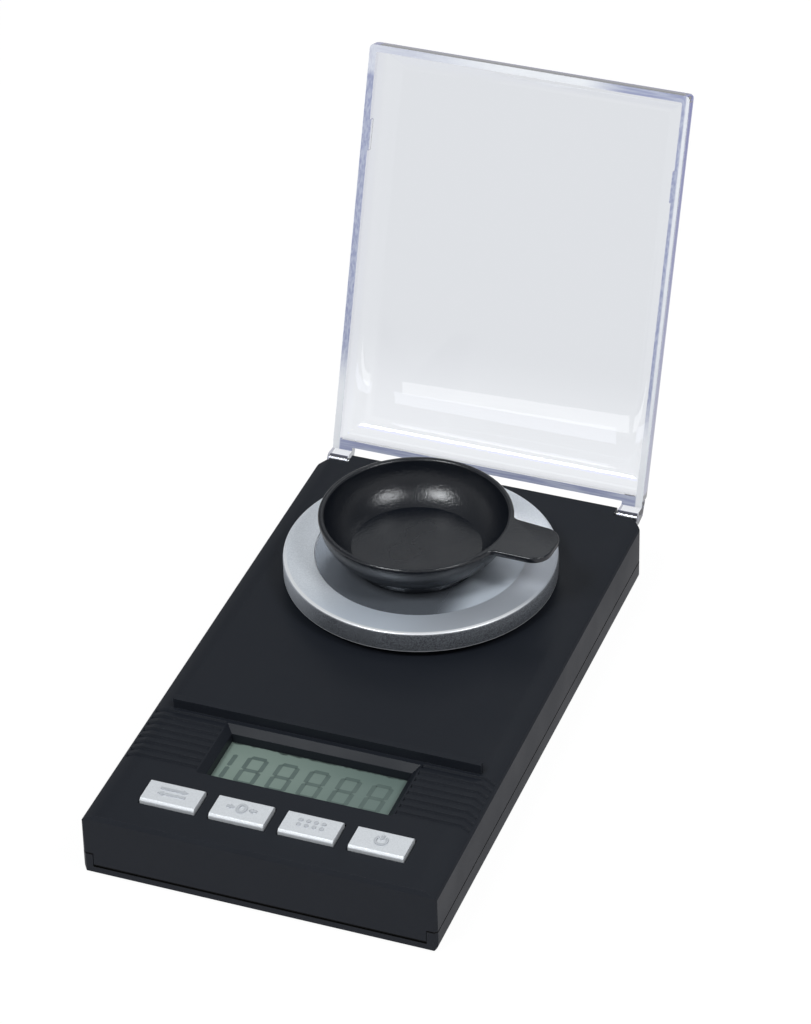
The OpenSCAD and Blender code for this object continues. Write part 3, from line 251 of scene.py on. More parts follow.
def platform_paint_and_painted_light():
    finish = Finish("platform_silver_and_painted_light", {})
    light = flakes(finish, 0.13)
    x, y, z = (finish.along(axis) for axis in "XYZ")
    middle_x, middle_y = platform_middle.x, platform_middle.y
    offset = finish.vector("SUBTRACT", finish.position(), (middle_x, middle_y, 0))
    radius = finish.vector("LENGTH", finish.vector("MULTIPLY", offset, (1, 1, 0)), out="Value")
    to_front_right = finish.vector("DOT_PRODUCT", offset, (0.7, -0.7, 0), out="Value")

    disc = finish.band(radius, dish_r - 0.15 * MM, dish_r, 1, 0)
    side = finish.band(radius, platform_r - 0.2 * MM, platform_r - 0.05 * MM)
    # The lower edge of the skirt is paler.
    pale_lower_edge = finish.band(z, low.z + 0.15 * MM, low.z + 0.4 * MM, 1, 0) * side
    # Painted shade: the ring is painted darker at the front right, and darker still to the right.
    painted_shade_front_right = finish.band(to_front_right, -2 * MM, 13 * MM)
    # Painted light: the skirt is painted lighter at the left.
    painted_light_left = finish.band(x, middle_x - 0.9 * platform_r, middle_x - 0.3 * platform_r, 1, 0)
    right = finish.band(x, middle_x, middle_x + 16 * MM)
    # Painted light: the disc is painted lighter at the right.
    painted_light_disc_right = finish.band(x, middle_x + 8 * MM, middle_x + 15 * MM) * disc
    # Painted highlight along the front of the ring's outer edge.
    crest = (finish.band(radius, platform_r - 0.8 * MM, platform_r - 0.55 * MM) *
             finish.band(y, middle_y - 14 * MM, middle_y - 4 * MM, 1, 0) *
             finish.band(z, high.z - 0.5 * MM, high.z - 0.3 * MM))

    # The ring's pale colour is the lit silver, and its shaded colour is painted shade on the same silver.
    pale = finish.blend(light, (0.69, 0.73, 0.78, 1), (0.83, 0.87, 0.92, 1))
    shaded = finish.blend(right, (0.63, 0.69, 0.77, 1), (0.46, 0.49, 0.54, 1))
    ring = finish.blend(painted_shade_front_right, pale, shaded)
    ring = finish.blend(crest, ring, (0.93, 0.94, 0.96, 1))
    # The disc is painted darker than the ring, as painted shade and a painted reflection of the black pan.
    dish_with_painted_shade = finish.blend(light, (0.35, 0.39, 0.45, 1), (0.41, 0.45, 0.51, 1))
    dish_with_painted_shade = finish.blend(painted_light_disc_right, dish_with_painted_shade, (0.74, 0.81, 0.90, 1))
    # The skirt's coarse flakes are real; its colour, darker than the ring's, is painted shade.
    skirt = finish.blend(light, (0.06, 0.065, 0.075, 1), (0.22, 0.235, 0.26, 1))
    skirt = finish.blend(painted_light_left, skirt, (0.52, 0.55, 0.60, 1))
    colour = finish.blend(disc, ring, dish_with_painted_shade)
    colour = finish.blend(side, colour, skirt)
    finish.fill(finish.principled, {
        "Base Color": finish.blend(pale_lower_edge, colour, (0.85, 0.87, 0.90, 1)),
        "Metallic": 0.35 + disc * 0.4 - painted_light_disc_right * 0.5,
        "Roughness": 0.34 - disc * 0.08 + side * 0.12,
        "Normal": finish.bump(light, 0.004),
    })
    return finish.owner


platform_silver_and_painted_light = platform_paint_and_painted_light()
print("platform", round(platform_r / MM, 2), "mm radius")

# %% [markdown]
# ## Softened mouldings
# A moulded case has no knife edges. The solid of the case is right, so a merged copy of it gets a
# small bevel along every sharp edge. The copy stands for the node, which stays for collision.

# %% Helpers for pieces
def dress(piece, material, body, nodes=(), smooth=35):
    """Shades a finished piece, makes it ride on its body and lets it stand for its nodes."""
    for face in piece.data.polygons:
        face.use_smooth = True
    piece.data.set_sharp_from_angle(angle=math.radians(smooth))
    piece.data.materials.append(material)
    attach(piece, body)
    if nodes:
        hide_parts(*nodes)
    print(piece.name, len(piece.data.polygons), "faces")
    return piece


def piece_from(shape, name, scale=MM):
    """Turns a finished bmesh, in millimetres, into an object at the origin."""
    bmesh.ops.scale(shape, vec=(scale,) * 3, verts=shape.verts)
    mesh = bpy.data.meshes.new(name)
    shape.to_mesh(mesh)
    shape.free()
    piece = bpy.data.objects.new(name, mesh)
    bpy.context.scene.collection.objects.link(piece)
    return piece


def closed(shape):
    """Merges corners that touch and turns every face outwards."""
    bmesh.ops.remove_doubles(shape, verts=shape.verts, dist=0.002)
    bmesh.ops.recalc_face_normals(shape, faces=shape.faces)
    return shape


def rounded(shape, geom, radius, segments, affect="EDGES", clamp=False):
    """Rounds edges, or corners of a flat outline, by a radius."""
    bmesh.ops.bevel(shape, geom=geom, offset=radius, offset_type="OFFSET", affect=affect,
                    segments=segments, profile=0.5, material=-1, clamp_overlap=clamp)


def union(base, other):
    """Joins a second closed shape to a piece, so that no wall is left inside it."""
    piece, tool = piece_from(base, "base"), piece_from(other, "tool")
    join = piece.modifiers.new("join", "BOOLEAN")
    join.operation, join.object, join.solver = "UNION", tool, "EXACT"
    bpy.context.view_layer.update()
    ready = piece.evaluated_get(bpy.context.evaluated_depsgraph_get())
    joined = bmesh.new()
    joined.from_mesh(ready.data)
    bmesh.ops.scale(joined, vec=(1 / MM,) * 3, verts=joined.verts)
    bpy.data.objects.remove(piece)
    bpy.data.objects.remove(tool)
    return joined


def softened(node, name, width, material, body, segments=2, cuts=()):
    """A merged copy of a node with every sharp edge rounded off.

    A face with an opening in it is parted through the opening first, so that each part is a plain
    outline. `cuts` lists these planes as (axis, millimetres)."""
    shape = bmesh.new()
    shape.from_mesh(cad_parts[node].data)
    bmesh.ops.remove_doubles(shape, verts=shape.verts, dist=2e-6)
    for axis, place in cuts:
        normal = Vector((axis == 0, axis == 1, axis == 2))
        everything = shape.verts[:] + shape.edges[:] + shape.faces[:]
        parted = bmesh.ops.bisect_plane(shape, geom=everything, dist=1e-6,
                                        plane_co=normal * place * MM, plane_no=normal)["geom_cut"]
        for part in parted:
            if isinstance(part, bmesh.types.BMEdge):
                part.seam = True
    bmesh.ops.dissolve_limit(shape, angle_limit=math.radians(0.6), verts=shape.verts, edges=shape.edges,
                             delimit={"SEAM"})
    piece = piece_from(shape, name, 1)
    bevel = piece.modifiers.new("edges", "BEVEL")
    bevel.width, bevel.segments = width * MM, segments
    bevel.limit_method, bevel.angle_limit = "ANGLE", math.radians(30)
    bevel.use_clamp_overlap = True
    bevel.miter_outer = "MITER_ARC"
    weighted = piece.modifiers.new("shading", "WEIGHTED_NORMAL")
    weighted.keep_sharp = True
    return dress(piece, material, body, [node], smooth=60)


# %% Case halves
openings = [(0, x) for x in (0, -0.9, -6.375, 6.375, -19.125, 19.125, -27.8, 27.8)]
openings += [(1, y) for y in (-48.5, -48, -33.4, 25.85, 46)]
for half in ("top", "bottom"):
    softened(half + "_case", half + "_shell", 0.16, case_black, "scale_case", cuts=openings)

# %% [markdown]
# ## The four keys
# Each key is a flat silver cap in a close opening. A plain raised sign stands on each of them:
# two arrows, a zero between arrows, counting dots and the power ring.

# %% Signs on the keys
def arc(radius, start, sweep, steps, x=0.0, y=0.0):
    """Points along an arc round (x, y), in degrees."""
    turns = [math.radians(start + sweep * i / steps) for i in range(steps + 1)]
    return [(x + radius * math.cos(a), y + radius * math.sin(a)) for a in turns]


def push(shape, faces, way):
    """Pushes flat faces out into closed tiles."""
    pushed = bmesh.ops.extrude_face_region(shape, geom=faces)["geom"]
    bmesh.ops.translate(shape, vec=way, verts=[v for v in pushed if isinstance(v, bmesh.types.BMVert)])


def tile(shape, outline, z0, z1):
    """A closed tile over a flat outline."""
    push(shape, [shape.faces.new([shape.verts.new((x, y, z0)) for x, y in outline])], (0, 0, z1 - z0))


def arrow(tail, tip, y, half, head, head_half):
    """Outline of an arrow along X."""
    way = math.copysign(1, tip - tail)
    neck = tip - way * head
    return [(tail, y - half), (neck, y - half), (neck, y - head_half), (tip, y),
            (neck, y + head_half), (neck, y + half), (tail, y + half)]


def ring(shape, rx, ry, width, z0, z1):
    """A closed oval ring round the origin."""
    loops = []
    for grow in (width / 2, -width / 2):
        made = bmesh.ops.create_circle(shape, segments=32, radius=1)["verts"]
        bmesh.ops.scale(shape, vec=(rx + grow, ry + grow, 1), verts=made)
        bmesh.ops.translate(shape, vec=(0, 0, z0), verts=made)
        loops += list({e for v in made for e in v.link_edges})
    push(shape, bmesh.ops.bridge_loops(shape, edges=loops)["faces"], (0, 0, z1 - z0))


def key_sign(kind, shape, z0, z1):
    """One sign round the origin, drawn with strokes of one width."""
    half = 0.25
    if kind == "mode":
        for s in (-1, 1):
            tile(shape, arrow(-2.5 * s, 2.6 * s, 0.66 * s, half, head=1.0, head_half=0.52), z0, z1)
    elif kind == "tare":
        ring(shape, 0.72, 1.0, 2 * half, z0, z1)
        for s in (-1, 1):
            tile(shape, arrow(2.75 * s, 1.3 * s, 0, half, head=0.8, head_half=0.58), z0, z1)
    elif kind == "count":
        first, pitch, row, dot_r, sides = -2.1, 1.4, 0.62, 0.38, 16
        for i in range(4):
            for y in (-row, row):
                dot = arc(dot_r, 0, 360, sides, first + pitch * i, y)[:-1]
                tile(shape, dot, z0, z1)
    else:
        outer, inner = (arc(radius, 128, 284, 24, y=-0.1) for radius in (1.25, 0.85))
        tile(shape, outer + inner[::-1], z0, z1)
        tile(shape, [(-half, 0.2), (half, 0.2), (half, 1.3), (-half, 1.3)], z0, z1)


# %% Key caps
sign_root, sign_height, sign_shift = 0.05, 0.25, 0.15
for kind in ("mode", "tare", "count", "power"):
    node = "key_" + kind
    softened(node, node + "_cap", 0.14, key_silver, node, segments=3)
    low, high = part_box(node)
    middle, top = (low + high) / 2 / MM, high.z / MM
    shape = bmesh.new()
    key_sign(kind, shape, top - sign_root, top + sign_height)
    bmesh.ops.translate(shape, vec=(middle.x, middle.y + sign_shift, 0), verts=shape.verts)
    closed(shape)
    crest = [e for e in shape.edges
             if e.calc_face_angle(0) > 1 and min(v.co.z for v in e.verts) > top + 0.1]
    rounded(shape, crest, 0.04, 2)
    dress(piece_from(shape, node + "_sign"), sign_silver, node, smooth=40)

# %% [markdown]
# ## The display
# A switched-off liquid crystal display is a grey-green sheet with the ghost of its segments in it.
# The glass is the solid itself. The segments are thin films on it, leaning as such digits do.

# %% Display finishes
glass = {"Roughness": 0.3, "Specular IOR Level": 0.25}
lcd = Finish("lcd_grey_green", glass)
x, y = lcd.along("X"), lcd.along("Y")
cloud = lcd.noise(9, 2)
near = lcd.blend(cloud, (0.185, 0.245, 0.212, 1), (0.205, 0.268, 0.235, 1))
far = lcd.blend(cloud, (0.205, 0.268, 0.235, 1), (0.230, 0.295, 0.260, 1))
field = lcd.blend(lcd.band(y, -39.4 * MM, -27.4 * MM), near, far)
# Painted shade: the sheet is painted darker towards the right.
field = lcd.blend(lcd.band(x, -15 * MM, 16 * MM, 0.0, 0.9), field, (0.135, 0.185, 0.168, 1))
# Painted shade: a dark strip with a ragged edge along the far edge of the sheet, under the recess's far
# wall.
edge = lcd.band(y + lcd.noise(2.2, 2) * 1.2 * MM, -27.2 * MM, -26.8 * MM)
lcd.fill(lcd.principled, {"Base Color": lcd.blend(edge, field, (0.050, 0.066, 0.060, 1))})
ghost = Finish("lcd_ghost", glass)
ghost.fill(ghost.principled, {
    "Base Color": ghost.blend(ghost.noise(3, 2), (0.085, 0.120, 0.110, 1), (0.125, 0.170, 0.153, 1)),
})
print("display finishes", lcd.owner.name, ghost.owner.name)

# %% Ghost digits
film_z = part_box("lcd_panel")[1].z / MM + 0.012
digit_w, digit_h, stroke, gap = 3.1, 7.0, 1.0, 0.14
digits_x, digits_y, pitch = -18.3, -37.3, 5.82
lean = math.tan(math.radians(3))
digits = bmesh.new()


def segment(shape, x0, y0, x1, y1):
    """One segment: a flat stroke with pointed ends."""
    made = bmesh.ops.create_circle(shape, cap_ends=True, segments=6, radius=stroke / 2)["verts"]
    bmesh.ops.rotate(shape, verts=made, cent=(0, 0, 0), matrix=Matrix.Rotation(math.pi / 6, 3, "Z"))
    half = (math.hypot(x1 - x0, y1 - y0) - stroke - gap) / 2
    for v in made:
        v.co.x += math.copysign(half, v.co.x)
    bmesh.ops.rotate(shape, verts=made, cent=(0, 0, 0),
                     matrix=Matrix.Rotation(math.atan2(y1 - y0, x1 - x0), 3, "Z"))
    bmesh.ops.translate(shape, vec=((x0 + x1) / 2, (y0 + y1) / 2, film_z), verts=made)


for i in range(6):
    x0, x1 = digits_x + pitch * i, digits_x + pitch * i + digit_w
    rows = [digits_y + digit_h * row / 2 for row in range(3)]
    for y in (rows if i else ()):
        segment(digits, x0, y, x1, y)
    for x in ((x0, x1) if i else (x1,)):
        segment(digits, x, rows[0], x, rows[1])
        segment(digits, x, rows[1], x, rows[2])
for v in digits.verts:
    v.co.x += (v.co.y - digits_y) * lean
dress(piece_from(digits, "display_segments"), ghost.owner, "scale_case", smooth=30)

# %% [markdown]
# ## The platform
# A round platform is turned from its section: a list of corners is spun once round its axis. The
# corners of the section are bevelled first, so the turned edges come out rounded.

# %% Turned pieces
def turned(corners, centre, steps, segments=4):
    """Spins a section round an axis. Each of its corners is (radius, height, rounding)."""
    shape = bmesh.new()
    points = [shape.verts.new((r, 0, z)) for r, z, _ in corners]
    for a, b in zip(points, points[1:]):
        shape.edges.new((a, b))
    for radius in sorted({corner[2] for corner in corners if corner[2]}):
        chosen = [point for point, corner in zip(points, corners) if corner[2] == radius]
        rounded(shape, chosen, radius, segments, "VERTICES")
    bmesh.ops.spin(shape, geom=shape.verts[:] + shape.edges[:], cent=(0, 0, 0), axis=(0, 0, 1),
                   angle=2 * math.pi, steps=steps, use_merge=True)
    bmesh.ops.translate(shape, vec=(*centre, 0), verts=shape.verts)
    return closed(shape)


# %% Platform
low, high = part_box("platform")
plate_t, skirt_t = 1.4, 1.5
rim_r, disc_r = platform_r / MM, dish_r / MM
z0, z1, disc_z = low.z / MM, high.z / MM, (high.z - dish_depth) / MM
section = [
    (0, disc_z - plate_t, 0), (rim_r - skirt_t, disc_z - plate_t, 0.3), (rim_r - skirt_t, z0, 0.2),
    (rim_r, z0, 0.28), (rim_r, z1, 0.55), (disc_r, z1, 0.12), (disc_r, disc_z, 0.12), (0, disc_z, 0),
]
shape = turned(section, platform_middle.xy / MM, 160)
dress(piece_from(shape, "weighing_plate"), platform_silver_and_painted_light, "weighing_platform", ["platform"],
      smooth=50)

# %% [markdown]
# ## The pan
# The loose pan is a turned bowl with a rolled lip, a foot ring and a pouring tab. The tab is a
# flat outline that is pushed up, with every corner rounded, and it runs out of the lip.

# %% Pan
pan_low, pan_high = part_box("weighing_pan")
pan_centre, pan_r, pan_wall, lip_r = (-1.3, 24.85), 17.9, 1.1, 0.42
foot_r, foot_w = 12.0, 1
z0, z1 = pan_low.z / MM, pan_high.z / MM
under_z, floor_z = z0 + 1.5, z0 + 2.1


def bowl(radius, bottom, steps=14):
    """The bowl's wall from the foot out to the lip. It leaves the floor with a crease."""
    first = math.radians(30)
    turns = [first + (math.pi / 2 - first) * i / steps for i in range(steps + 1)]
    return [(foot_r + (radius - foot_r) * (math.sin(a) - math.sin(first)) / (1 - math.sin(first)),
             z1 - (z1 - bottom) * math.cos(a) / math.cos(first),
             lip_r if a == turns[-1] else 0) for a in turns]


section = [(0, under_z, 0), (foot_r - foot_w, under_z, 0.3), (foot_r - foot_w, z0, 0.2), (foot_r, z0, 0.25)]
section += bowl(pan_r, under_z) + bowl(pan_r - pan_wall, floor_z)[::-1] + [(0, floor_z, 0)]
shape = turned(section, pan_centre, 144, 6)

# %% Pouring tab
tab_end, tab_half, taper, tab_turn = 27.3, 5.4, 0.55, -4
tab_z, tab_t, root_r, root_angle = z1 - 1.2, 1.18, pan_r - 0.55, 26
first_x, first_y = arc(pan_r, -root_angle, 0, 1)[0]
neck_x = math.sqrt(pan_r ** 2 - tab_half ** 2) - 0.03
half_outline = [(first_x, first_y, 0), (neck_x, -tab_half, 0.95), (tab_end, taper - tab_half, 3.4)]
corners = half_outline + [(x, -y, radius) for x, y, radius in half_outline[::-1]]
corners += [(x, y, 0) for x, y in arc(root_r, root_angle, -2 * root_angle, 8)]
tab = bmesh.new()
outline = [tab.verts.new((x, y, tab_z)) for x, y, _ in corners]
tab.faces.new(outline)
for point, (_, _, radius) in zip(outline, corners):
    if radius:
        rounded(tab, [point], radius, 10, "VERTICES")
push(tab, tab.faces[:], (0, 0, tab_t))
closed(tab)
rims = [edge for edge in tab.edges if edge.calc_face_angle(0) > 1.2 and
        all(math.hypot(v.co.x, v.co.y) > pan_r - 0.1 for v in edge.verts)]
rounded(tab, rims, 0.28, 6, clamp=True)
bmesh.ops.rotate(tab, verts=tab.verts, cent=(0, 0, 0),
                 matrix=Matrix.Rotation(math.radians(tab_turn), 3, "Z"))
bmesh.ops.translate(tab, vec=(*pan_centre, 0), verts=tab.verts)
shape = union(shape, tab)
dress(piece_from(shape, "pan"), pan_black, "weighing_pan", ["weighing_pan"], smooth=18)

# %% [markdown]
# ## The clear lid
# The lid is a shallow clear tray. Light runs along inside its walls and comes out at their edges,
# which is why they look blue-violet while the panel hardly shows. So the mesh is a true closed
# shell with a wall thickness, and the colour is in its volume: the longer the way, the deeper.

# %% Lid finish
lid_clear = Finish("lid_clear", {
    "Roughness": 0.03, "IOR": 1.49, "Transmission Weight": 1.0, "Specular IOR Level": 0.5,
})
# Painted light: the panel is painted lighter at the lowest part of the open lid and darker higher up, for
# what is seen through it.
painted_light_by_height = lid_clear.band(lid_clear.along("Z"), 16 * MM, 34 * MM)
lid_clear.fill(lid_clear.principled, {
    "Base Color": lid_clear.blend(painted_light_by_height, (0.88, 0.90, 0.93, 1), (0.765, 0.785, 0.815, 1)),
})
absorb = lid_clear.node("VolumeAbsorption", values={"Color": (0.50, 0.54, 0.90, 1), "Density": 13})
lid_clear.fill(lid_clear.tree.nodes["Material Output"], {"Volume": absorb})
print("lid finish", lid_clear.owner.name)

# %% [markdown]
# The end faces of the walls are where that light comes out, and its glow is painted into their
# colour: they are satin and streaked violet-grey, and painted bright in the middle of the end away
# from the hinge, the right part of the hinge's end, the sides near the hinge and the outer edge of
# the right side.

# %% Rim finish
rim_glow = Finish("lid_rim", {"Roughness": 0.45})
x, height = rim_glow.along("X"), rim_glow.along("Z")
side = rim_glow.band(x.math("ABSOLUTE"), 29.6 * MM, 29.9 * MM)
upright = rim_glow.noise(0.35, stretch=(1, 1, 0.05))
across = rim_glow.noise(0.35, stretch=(0.05, 1, 1))
streak = rim_glow.band(rim_glow.fade(side, across, upright), 0.35, 0.65)
violet = rim_glow.blend(streak, (0.34, 0.365, 0.54, 1), (0.50, 0.53, 0.66, 1))
# Where the end faces are painted bright as painted glow.
far_end = (rim_glow.band(height, 82 * MM, 83.5 * MM) *
           rim_glow.band(x, -24 * MM, -4 * MM, 0.55) * rim_glow.band(x, 10 * MM, 20 * MM, 1, 0))
hinge_end = rim_glow.band(height, 13 * MM, 11 * MM) * rim_glow.band(x, -14 * MM, -4 * MM)
low_side = rim_glow.band(height, 34 * MM, 24 * MM) * side
painted_glow = rim_glow.band(x, 30.3 * MM, 30.6 * MM, 0, 0.9)
for part in (low_side, hinge_end, far_end):
    painted_glow = part.math("MAXIMUM", painted_glow)
rim_glow.fill(rim_glow.principled, {"Base Color": rim_glow.blend(painted_glow, violet, (0.90, 0.91, 0.94, 1))})
print("rim finish", rim_glow.owner.name)

# %% Lid shell
hinge, open_angle = Vector((0, 57.0, 11.7)), 108.7
lid_hw, lid_y0, lid_y1, lid_z0, lid_z1 = 31.1, -23.74, 54.66, 13.06, 20.26
wall, panel, edge_r, corner_r, inner_corner_r = 1.32, 1.3, 5.0, 0.8, 0.3


def block(shape, size, middle):
    """A box of a size round a middle."""
    made = bmesh.ops.create_cube(shape, size=1)["verts"]
    bmesh.ops.scale(shape, vec=size, verts=made)
    bmesh.ops.translate(shape, vec=middle, verts=made)


def tray(shape, half_w, y0, y1, bottom, top, roll, corner):
    """One skin of the tray. It gives back the corners of its rim, in their order round the tray.

    The lower outline of a box with rounded posts is kept as the rim. It is pushed up, then in round
    the roll, and a face closes it."""
    old = set(shape.verts)
    middle, half_l = (y0 + y1) / 2, (y1 - y0) / 2
    block(shape, (2 * half_w, 2 * half_l, 1), (0, middle, bottom + 0.5))
    posts = [e for e in shape.edges
             if e.verts[0] not in old and abs(e.verts[0].co.z - e.verts[1].co.z) > 0.5]
    rounded(shape, posts, corner, 8)
    fresh = [v for v in shape.verts if v not in old]
    bmesh.ops.delete(shape, geom=[v for v in fresh if v.co.z > bottom + 0.5], context="VERTS")
    rim = list({e for v in fresh if v.is_valid for e in v.link_edges})
    bmesh.ops.delete(shape, geom=list({f for e in rim for f in e.link_faces}), context="FACES_ONLY")
    loop, last_in, last_z = rim, 0.0, bottom
    for a in [math.pi / 2 * i / 8 for i in range(9)]:
        inset, z = roll * (1 - math.cos(a)), top - roll * (1 - math.sin(a))
        pushed = bmesh.ops.extrude_edge_only(shape, edges=loop)["geom"]
        verts = [g for g in pushed if isinstance(g, bmesh.types.BMVert)]
        loop = [g for g in pushed if isinstance(g, bmesh.types.BMEdge)]
        narrower = ((half_w - inset) / (half_w - last_in), (half_l - inset) / (half_l - last_in), 1)
        bmesh.ops.translate(shape, vec=(0, -middle, z - last_z), verts=verts)
        bmesh.ops.scale(shape, vec=narrower, verts=verts)
        bmesh.ops.translate(shape, vec=(0, middle, 0), verts=verts)
        last_in, last_z = inset, z
    bmesh.ops.contextual_create(shape, geom=loop)
    return sorted({v for e in rim for v in e.verts}, key=lambda v: math.atan2(v.co.y - middle, v.co.x))


lid = bmesh.new()
outer_rim = tray(lid, lid_hw, lid_y0, lid_y1, lid_z0, lid_z1, edge_r, corner_r)
inner_rim = tray(lid, lid_hw - wall, lid_y0 + wall, lid_y1 - wall, lid_z0, lid_z1 - panel,
                 edge_r - wall, inner_corner_r)
for i in range(len(outer_rim)):
    lid.faces.new((outer_rim[i - 1], outer_rim[i], inner_rim[i], inner_rim[i - 1]))
closed(lid)
print("lid shell", len(lid.faces), "faces,", sum(not e.is_manifold for e in lid.edges), "open edges")

# %% Lid ears and catches
catch, catch_from_end = Vector((0.4, 5.9, 1.2)), 14.3
ear_r, ear_inset, ear_w = 1.4, 4, 3.97
extras = bmesh.new()
for s in (-1, 1):
    block(extras, catch, (s * (lid_hw - wall - 0.1), lid_y0 + catch_from_end + catch.y / 2, lid_z0 + 0.62))
section = [(lid_y1 - 0.4, lid_z0 + 0.02), (hinge.y - ear_r - 0.25, lid_z0 + 0.02),
           (hinge.y - ear_r, hinge.z + 0.2)]
section += arc(ear_r, 180, 210, 12, hinge.y, hinge.z)[1:]
section += [(hinge.y + 0.2, lid_z0 + 1.4), (lid_y1 - 0.4, lid_z0 + 2)]
for s in (-1, 1):
    outline = [extras.verts.new((s * (lid_hw - ear_inset), y, z)) for y, z in section]
    push(extras, [extras.faces.new(outline)], (s * ear_w, 0, 0))
lid = union(lid, closed(extras))
ends = [f for f in lid.faces if f.normal.z < -0.99 and abs(f.calc_center_median().z - lid_z0) < 0.05]
for face in ends:
    face.material_index = 1
print("rim faces", len(ends))
bmesh.ops.rotate(lid, verts=lid.verts, cent=hinge,
                 matrix=Matrix.Rotation(math.radians(-open_angle), 3, "X"))
lid_piece = dress(piece_from(lid, "clear_lid"), lid_clear.owner, "lid", ["lid"], smooth=30)
lid_piece.data.materials.append(rim_glow.owner)
lid_piece.visible_shadow = False
lid_piece.visible_glossy = False

# %% [markdown]
# ## The pieces that keep their solid
# Inside and under the case the solids are right as they are. Each gets a procedural finish.

# %% Finishes of the carried-over pieces
def plain(name, first, second, size, metal=0.0, rough=0.5, depth=0.0):
    """A finish that wanders between two colours, with grains of `size` millimetres."""
    finish = Finish(name, {"Metallic": metal})
    noise = finish.noise(size, 3)
    values = {"Base Color": finish.blend(noise, (*first, 1), (*second, 1)),
              "Roughness": finish.band(noise, 0.25, 0.75, rough - 0.06, rough + 0.06)}
    if depth:
        values["Normal"] = finish.bump(noise, depth)
    finish.fill(finish.principled, values)
    return finish.owner


steel = plain("screw_steel", (0.50, 0.50, 0.51), (0.62, 0.62, 0.63), 0.8, 1.0, 0.32)
black_steel = plain("screw_black", (0.03, 0.03, 0.032), (0.05, 0.05, 0.055), 0.8, 0.7, 0.4)
rubber = plain("foot_rubber", (0.018, 0.018, 0.019), (0.026, 0.026, 0.027), 0.5, 0, 0.75, 0.01)
finishes = {
    "battery_door": case_black,
    "batteries": plain("cell_jacket", (0.50, 0.50, 0.50), (0.60, 0.60, 0.61), 1.5, 0.9, 0.3),
    "battery_springs": steel,
    "battery_contacts": plain("contact_nickel", (0.58, 0.57, 0.55), (0.68, 0.67, 0.64), 1.2, 1.0, 0.3),
    "battery_leads": plain("lead_red", (0.30, 0.012, 0.012), (0.36, 0.02, 0.018), 1.0, 0, 0.4),
    "circuit_board": plain("board_green", (0.012, 0.085, 0.035), (0.02, 0.12, 0.05), 1.6, 0, 0.35, 0.01),
    "controller_chip": plain("chip_resin", (0.016, 0.016, 0.017), (0.024, 0.024, 0.025), 0.4,
                             0, 0.5, 0.006),
    "board_components": plain("component_tan", (0.42, 0.36, 0.24), (0.50, 0.44, 0.30), 0.6, 0, 0.45),
    "lcd_panel": lcd.owner,
    "lcd_frame": part_black,
    "lcd_connector_strips": plain("strip_rubber", (0.05, 0.05, 0.05), (0.16, 0.16, 0.16), 0.3, 0, 0.7),
    "key_switches": plain("switch_black", (0.03, 0.03, 0.03), (0.05, 0.05, 0.05), 0.5, 0, 0.5),
    "load_cell": plain("cell_aluminium", (0.60, 0.61, 0.63), (0.70, 0.71, 0.73), 1.0, 1.0, 0.35, 0.004),
    "load_cell_spacer": plain("spacer_aluminium", (0.52, 0.53, 0.55), (0.62, 0.63, 0.65), 1.0, 1.0, 0.4),
    "load_cell_screws": steel,
    "strain_gauges": plain("gauge_film", (0.42, 0.24, 0.05), (0.52, 0.32, 0.08), 0.5, 0, 0.35),
    "overload_stop_screw": steel,
    "sensor_cable": plain("cable_grey", (0.42, 0.42, 0.44), (0.50, 0.50, 0.52), 0.8, 0, 0.45),
    "platform_carrier": plain("carrier_white", (0.62, 0.62, 0.60), (0.70, 0.70, 0.68), 3, 0, 0.4),
    "hinge_pins": steel,
    "case_screws": black_steel,
    "board_screws": steel,
    "rubber_feet": rubber,
}
for node, material in finishes.items():
    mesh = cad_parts[node].data
    if not mesh.materials:
        mesh.materials.append(material)
    for i in range(len(mesh.materials)):
        mesh.materials[i] = material
print("finished solids", len(finishes))

# %% [markdown]
# ## The studio
# A white floor and a white world. What the camera sees of them is plain white, through the lid too.
# Mirrors see the floor as grey. A small part of the floor's look answers to the lamps, so a faint
# shadow stays where the scale stands.

# %% Floor
floor_half, floor_white, floor_mirrored = 3000, (1, 1, 1, 1), (0.58, 0.58, 0.60, 1)
ray_kinds = ("Is Camera Ray", "Is Glossy Ray", "Is Transmission Ray")
floor = bmesh.new()
bmesh.ops.create_grid(floor, x_segments=1, y_segments=1, size=floor_half)
floor_piece = piece_from(floor, "floor")
paper = Finish("floor_white", {"Base Color": (0.9, 0.9, 0.9, 1), "Roughness": 0.9})
seen, mirrored, through = (paper.node("LightPath", out=kind) for kind in ray_kinds)
glow = paper.blend(mirrored * (1 - through), floor_white, floor_mirrored)
white = paper.node("Emission", values={"Color": glow, "Strength": 1.02})
facing = (seen.math("MAXIMUM", through) * 0.95).math("MAXIMUM", mirrored)
lit = Value(paper, paper.principled.outputs[0])
both = paper.node("MixShader", values={0: facing, 1: lit, 2: white})
paper.fill(paper.tree.nodes["Material Output"], {"Surface": both})
floor_piece.data.materials.append(paper.owner)
print("floor", round(2 * floor_half * MM, 1), "m wide")

# %% World
world = bpy.data.worlds.new("studio")
bpy.context.scene.world = world
sky = Finish("studio", owner=world)
sky.place = sky.node("TexCoord", out="Generated")
seen, mirrored, through = (sky.node("LightPath", out=kind) for kind in ray_kinds)
dome = sky.band(sky.along("Z"), 0.2, 0.6, 0.5, 0.24) * sky.band(sky.along("Y"), -0.1, 0.5, 1.0, 0.65)
unseen = sky.fade(mirrored, 0.38, dome)
strength = sky.fade(seen.math("MAXIMUM", through), unseen, 1.0)
sky.fill(sky.tree.nodes["Background"], {"Color": (0.97, 0.985, 1.0, 1), "Strength": strength})
print("world", world.name)

# %% [markdown]
# Two softboxes above the scale, one from the front left and one from the right, give the pair of
# soft lights in the pan. A wide one from behind lifts the far edges. Their level is set so that a
# colour renders about as it is written.


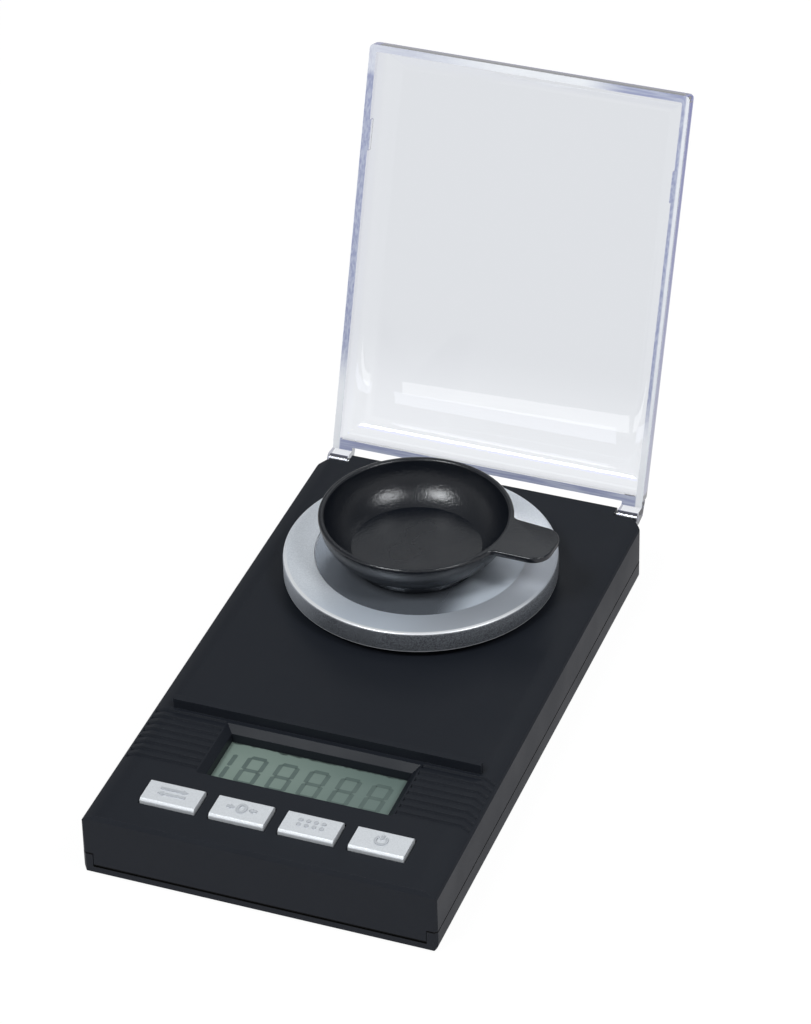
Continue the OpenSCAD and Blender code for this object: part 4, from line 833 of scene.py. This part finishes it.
# %% Lamps
def softbox(name, place, width, height, watts, target=(0, 0.02, 0)):
    """A rectangular lamp, in metres, that looks at the scale."""
    lamp = bpy.data.lights.new(name, "AREA")
    lamp.shape, lamp.size, lamp.size_y, lamp.energy = "RECTANGLE", width, height, watts
    lamp.color = (0.95, 0.98, 1.0)
    held = bpy.data.objects.new(name, lamp)
    bpy.context.scene.collection.objects.link(held)
    way = Vector(place) - Vector(target)
    held.matrix_world = Matrix.Translation(place) @ way.to_track_quat("Z", "Y").to_matrix().to_4x4()
    print(name, watts, "W")


softbox("left_softbox", (-0.24, -0.58, 0.91), 0.26, 0.26, 4.9)
softbox("right_softbox", (0.62, -0.22, 0.89), 0.23, 0.23, 3.3)
softbox("rear_softbox", (0.0, 0.9, 0.9), 0.9, 0.4, 0.95)

# %% [markdown]
# The open lid mirrors a bright strip low on its panel and a darker field above it. Two cards that
# only mirrors can see stand for them.

# %% Cards for the lid
def card(name, y, corners, strength):
    """An upright sheet of light across Y, with corners of (x, z) millimetres."""
    shape = bmesh.new()
    shape.faces.new([shape.verts.new((x, y, z)) for x, z in corners])
    piece = piece_from(shape, name)
    finish = Finish(name, {
        "Base Color": (0, 0, 0, 1), "Specular IOR Level": 0.0,
        "Emission Color": (1, 1, 1, 1), "Emission Strength": strength,
    })
    piece.data.materials.append(finish.owner)
    for kind in ("camera", "diffuse", "transmission", "shadow", "volume_scatter"):
        setattr(piece, "visible_" + kind, False)
    print(name, "strength", strength)


card("sill_card", 47, [(-26.3, 25.5), (-25.8, 23.2), (18.2, 22.95), (17.6, 26.2)], 2.5)
card("dark_card", -401, [(-171.7, 125.7), (-108, 125.9), (-96.5, 55.6), (-95.5, 35.3),
                         (-164, 40.4), (-169.8, 107)], 0.15)

# %% [markdown]
# The camera stands where the photograph was taken from: 21 degrees to the right, 36 degrees up.

# %% Camera
azimuth, elevation, roll = (math.radians(angle) for angle in (21.028, 35.709, -1.279))
aim, distance, lens_mm, sensor_mm = Vector((-10.453, 43.349, 12.873)), 791.053, 98.736, 24
flat = math.cos(elevation)
back = Vector((math.sin(azimuth) * flat, -math.cos(azimuth) * flat, math.sin(elevation)))
right = Vector((math.cos(azimuth), math.sin(azimuth), 0))
upward = back.cross(right)
camera_right = math.cos(roll) * right + math.sin(roll) * upward
camera_up = -math.sin(roll) * right + math.cos(roll) * upward
stand = (aim + distance * back) * MM
lens = bpy.data.cameras.new("camera")
lens.sensor_fit, lens.sensor_height, lens.lens = "VERTICAL", sensor_mm, lens_mm
lens.clip_start, lens.clip_end = 0.01, 50
camera = bpy.data.objects.new("camera", lens)
bpy.context.scene.collection.objects.link(camera)
turn = Matrix((camera_right, camera_up, back)).transposed().to_4x4()
camera.matrix_world = Matrix.Translation(stand) @ turn
bpy.context.scene.camera = camera
bpy.context.scene.view_settings.view_transform = "Standard"
print("camera at", [round(v / MM, 1) for v in stand])
